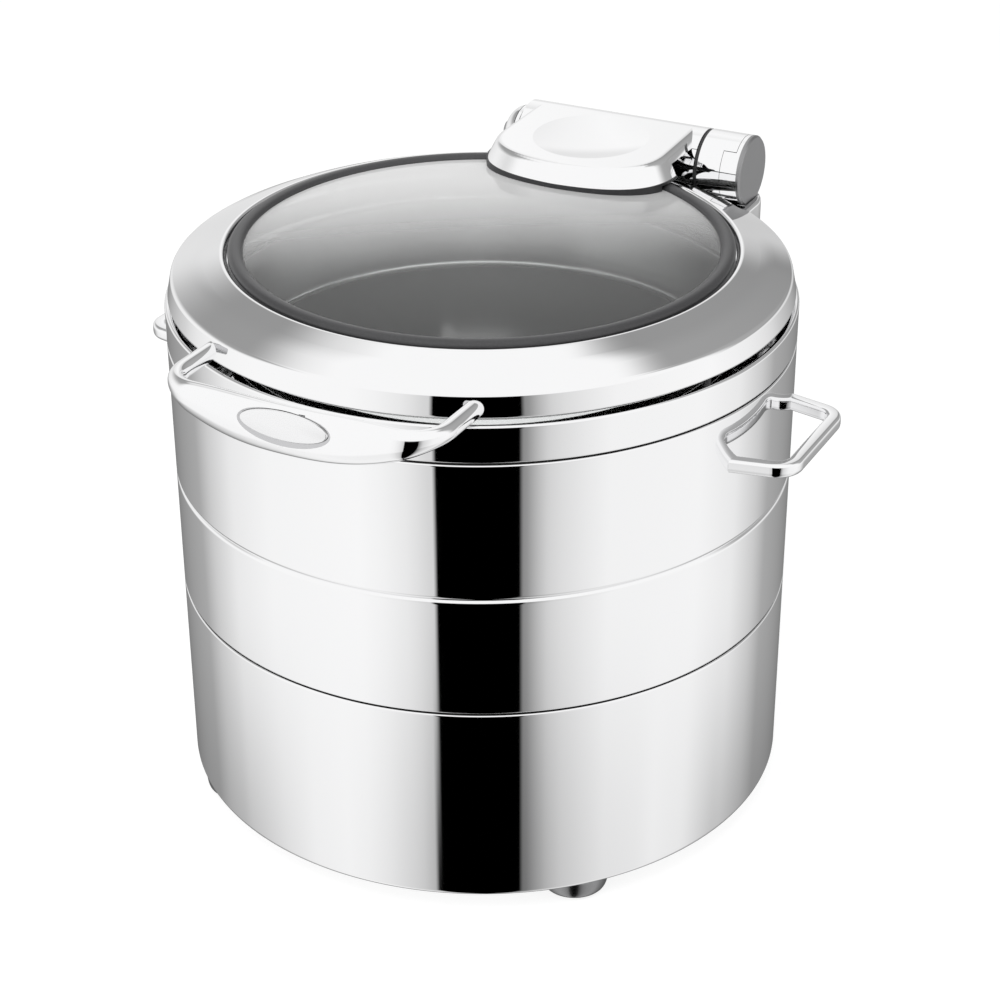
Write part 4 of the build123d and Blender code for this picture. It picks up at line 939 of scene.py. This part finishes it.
camera_data = bpy.data.cameras.new("camera")
camera_data.lens = CAMERA_LENS
camera_data.sensor_width = CAMERA_SENSOR
camera_data.clip_end = 100
camera = bpy.data.objects.new("camera", camera_data)
bpy.context.scene.collection.objects.link(camera)
bpy.context.scene.camera = camera
camera.location = seen_direction(0, 0) * CAMERA_REACH + Vector((0, 0, CAMERA_HEIGHT))
look = -seen_direction(-CAMERA_YAW, CAMERA_TILT)
camera.rotation_euler = look.to_track_quat("-Z", "Y").to_euler()
camera.rotation_euler.rotate_axis("Z", radians(CAMERA_ROLL))

# ---------------------------------------------------------------- the studio
WHITE = 1.0
SOFT = 0.45  # what dull surfaces get from the room
# How bright the room's walls are that the steel mirrors, by azimuth from the camera's side in degrees:
# near the floor, at the height of the object, and above it. The narrow dark part is the gap between
# the two front panels, where the camera stands. These levels are not a plain studio's: they were set
# from readings of the photograph's brightness on the steel.
STRIP = ((-17.5, 0.69), (-17.2, 0.0), (12.7, 0.0), (13.0, 0.26))
NEAR_STRIP = ((-46, 1.0), (-37, 0.955), (-28, 0.87), (-24, 0.8), (-20, 0.71))
PAST_STRIP = ((15, 0.29), (19, 0.51), (23, 0.685), (28, 0.77), (37, 0.87), (46, 0.95))
FRONT_WALL = (*NEAR_STRIP, *STRIP, *PAST_STRIP)
LOW_WALL = (
    ((-180, 0.2), (-165, 0.23), (-145, 0.34), (-130, 0.41), (-120, 0.63), (-111, 0.77))
    + ((-105, 0.87), (-85, 0.97))
    + FRONT_WALL
    + ((85, 0.97), (105, 0.87), (111, 0.77), (120, 0.63), (130, 0.41), (145, 0.34), (165, 0.23), (180, 0.2))
)
MIDDLE_WALL = (
    ((-180, 0.85), (-165, 0.78), (-150, 0.85), (-120, 0.95), (-85, 1.0))
    + FRONT_WALL
    + ((85, 1.0), (120, 0.85), (150, 0.68), (165, 0.62), (175, 0.8), (180, 0.85))
)
HIGH_WALL = (
    ((-180, 1.0), (-165, 0.88), (-155, 0.82), (-130, 0.95), (-100, 1.0))
    + ((100, 1.0), (130, 0.9), (155, 0.7), (165, 0.76), (175, 0.95), (180, 1.0))
)
# What is left of that near the floor, just in front of the object's feet.
FLOOR_SHADE = (
    ((-180, 0.7), (-140, 0.67), (-110, 0.53), (-88, 0.75), (-70, 0.93), (-55, 0.96), (-40, 0.88), (-30, 0.8))
    + ((-24, 0.77), (-19, 0.67), (-18.9, 0.0), (-16, 0.0), (-15.9, 0.6), (13, 0.6))
    + ((21, 0.64), (29, 0.77), (46, 0.84), (60, 0.87), (68, 0.93))
    + ((82, 0.87), (100, 0.58), (122, 0.53), (140, 0.6), (180, 0.7))
)
FLOOR_SHADE_EDGE = (-38, -30)
LOW_TO_MIDDLE = (-24, -8)  # elevations in degrees between which one wall blends into the next
MIDDLE_TO_HIGH = (11, 18)
CEILING = (55, 61)  # white above this
# Grey panels high in the room: azimuths and elevations as (start, full, full, end), and how dark.
PANELS = [
    ((-162, -151, -104, -84), (4, 34, 44, 57), 0.62),
    ((84, 104, 155, 162), (-2, 8, 53, 63), 0.57),
]


def fade(tree, value, low, high, to_low=0.0, to_high=1.0):
    """A smooth step between two angles in degrees."""
    step = tree.nodes.new("ShaderNodeMapRange")
    step.interpolation_type = "SMOOTHSTEP"
    step.inputs["From Min"].default_value = radians(low)
    step.inputs["From Max"].default_value = radians(high)
    step.inputs["To Min"].default_value = to_low
    step.inputs["To Max"].default_value = to_high
    tree.links.new(value, step.inputs["Value"])
    return step.outputs["Result"]


def card_mask(tree, value, edges):
    """1 between the two middle edges, fading to 0 at the outer ones."""
    rise = fade(tree, value, edges[0], edges[1])
    fall = fade(tree, value, edges[2], edges[3], 1.0, 0.0)
    return math_node(tree, "MULTIPLY", rise, fall)


def wall(tree, share, stops):
    """The wall's brightness along a share of the full turn."""
    ramp = tree.nodes.new("ShaderNodeValToRGB")
    points = ramp.color_ramp.elements
    while len(points) < len(stops):
        points.new(1.0)
    for point, (azimuth, level) in zip(points, stops):
        point.position = (azimuth + 180) / 360
        point.color = (level, level, level, 1)
    tree.links.new(share, ramp.inputs["Fac"])
    return ramp.outputs["Color"]


def blend(tree, share, one, two):
    """Goes from one value to the other as the share goes from 0 to 1."""
    mix = tree.nodes.new("ShaderNodeMix")
    mix.data_type = "FLOAT"
    for socket, value in ((mix.inputs[0], share), (mix.inputs[2], one), (mix.inputs[3], two)):
        if isinstance(value, float):
            socket.default_value = value
        else:
            tree.links.new(value, socket)
    return mix.outputs[0]


def build_world():
    """A white room. The camera sees it plain; steel and glass also see how its walls are shaded."""
    world = bpy.data.worlds.new("studio")
    bpy.context.scene.world = world
    world.use_nodes = True
    tree = world.node_tree
    tree.nodes.clear()
    coords = tree.nodes.new("ShaderNodeTexCoord")
    spin = tree.nodes.new("ShaderNodeVectorRotate")
    spin.rotation_type = "Z_AXIS"
    spin.inputs["Angle"].default_value = radians(-CAMERA_AZIMUTH)
    tree.links.new(coords.outputs["Generated"], spin.inputs["Vector"])
    parts = tree.nodes.new("ShaderNodeSeparateXYZ")
    tree.links.new(spin.outputs["Vector"], parts.inputs["Vector"])
    minus_y = math_node(tree, "MULTIPLY", parts.outputs["Y"], -1.0)
    azimuth = math_node(tree, "ARCTAN2", parts.outputs["X"], minus_y)
    elevation = math_node(tree, "ARCSINE", parts.outputs["Z"])
    turn_share = math_node(tree, "ADD", math_node(tree, "DIVIDE", azimuth, 2 * pi), 0.5)
    low, middle, high = [wall(tree, turn_share, stops) for stops in (LOW_WALL, MIDDLE_WALL, HIGH_WALL)]
    floor_shade = wall(tree, turn_share, FLOOR_SHADE)
    above_floor = fade(tree, elevation, *FLOOR_SHADE_EDGE)
    low = math_node(tree, "MULTIPLY", low, blend(tree, above_floor, floor_shade, 1.0))
    light = blend(tree, fade(tree, elevation, *LOW_TO_MIDDLE), low, middle)
    light = blend(tree, fade(tree, elevation, *MIDDLE_TO_HIGH), light, high)
    light = blend(tree, fade(tree, elevation, *CEILING), light, 1.0)
    for azimuths, elevations, darkness in PANELS:
        across = card_mask(tree, azimuth, azimuths)
        mask = math_node(tree, "MULTIPLY", across, card_mask(tree, elevation, elevations))
        shade = math_node(tree, "SUBTRACT", 1.0, math_node(tree, "MULTIPLY", mask, darkness))
        light = math_node(tree, "MULTIPLY", light, shade)
    room, plain, soft = [tree.nodes.new("ShaderNodeBackground") for _ in range(3)]
    for background in (room, plain, soft):
        background.inputs["Color"].default_value = (1, 1, 1, 1)
    tree.links.new(light, room.inputs["Strength"])
    plain.inputs["Strength"].default_value = WHITE
    soft.inputs["Strength"].default_value = SOFT
    path = tree.nodes.new("ShaderNodeLightPath")
    diffuse = tree.nodes.new("ShaderNodeMixShader")
    tree.links.new(path.outputs["Is Diffuse Ray"], diffuse.inputs["Fac"])
    tree.links.new(room.outputs[0], diffuse.inputs[1])
    tree.links.new(soft.outputs[0], diffuse.inputs[2])
    seen = tree.nodes.new("ShaderNodeMixShader")
    tree.links.new(path.outputs["Is Camera Ray"], seen.inputs["Fac"])
    tree.links.new(diffuse.outputs[0], seen.inputs[1])
    tree.links.new(plain.outputs[0], seen.inputs[2])
    out = tree.nodes.new("ShaderNodeOutputWorld")
    tree.links.new(seen.outputs[0], out.inputs["Surface"])


FLOOR_HALF = 30
FLOOR_DROP = 0.2 * MM  # below the pads, so that nothing lies in its plane
FLOOR_TONE = 0.3
FLOOR_GLOW = 0.84  # added for the camera alone, to bring the floor up to white


def build_floor():
    """A floor that is white to the camera but for the object's soft shadow, and isn't mirrored."""
    half = FLOOR_HALF
    corners = [(-half, -half, 0), (half, -half, 0), (half, half, 0), (-half, half, 0)]
    floor = new_object("floor", corners, [(0, 1, 2, 3)])
    material = bpy.data.materials.new("floor_paper")
    material.use_nodes = True
    tree = material.node_tree
    tree.nodes.clear()
    paper = tree.nodes.new("ShaderNodeBsdfDiffuse")
    paper.inputs["Color"].default_value = (FLOOR_TONE, FLOOR_TONE, FLOOR_TONE, 1)
    glow = tree.nodes.new("ShaderNodeEmission")
    path = tree.nodes.new("ShaderNodeLightPath")
    strength = math_node(tree, "MULTIPLY", path.outputs["Is Camera Ray"], FLOOR_GLOW)
    tree.links.new(strength, glow.inputs["Strength"])
    both = tree.nodes.new("ShaderNodeAddShader")
    tree.links.new(paper.outputs[0], both.inputs[0])
    tree.links.new(glow.outputs[0], both.inputs[1])
    out = tree.nodes.new("ShaderNodeOutputMaterial")
    tree.links.new(both.outputs[0], out.inputs["Surface"])
    floor.data.materials.append(material)
    floor.visible_glossy = False
    floor.location.z = -FLOOR_DROP


LAMP_SIZE = 2.4
LAMP_POWER = 34
LAMP_PLACE = (-25, 62)  # azimuth from the camera's side, and elevation, in degrees
LAMP_REACH = 2.6


def build_lamp():
    """One large soft lamp, which is neither mirrored nor seen through the glass."""
    lamp_data = bpy.data.lights.new("softbox", "AREA")
    lamp_data.shape = "DISK"
    lamp_data.size = LAMP_SIZE
    lamp_data.energy = LAMP_POWER
    lamp = bpy.data.objects.new("softbox", lamp_data)
    bpy.context.scene.collection.objects.link(lamp)
    lamp.location = seen_direction(*LAMP_PLACE) * LAMP_REACH
    lamp.rotation_euler = (-lamp.location).to_track_quat("-Z", "Y").to_euler()
    lamp.visible_glossy = False
    lamp.visible_transmission = False


build_world()
build_floor()
build_lamp()
bpy.context.scene.view_settings.view_transform = "Standard"
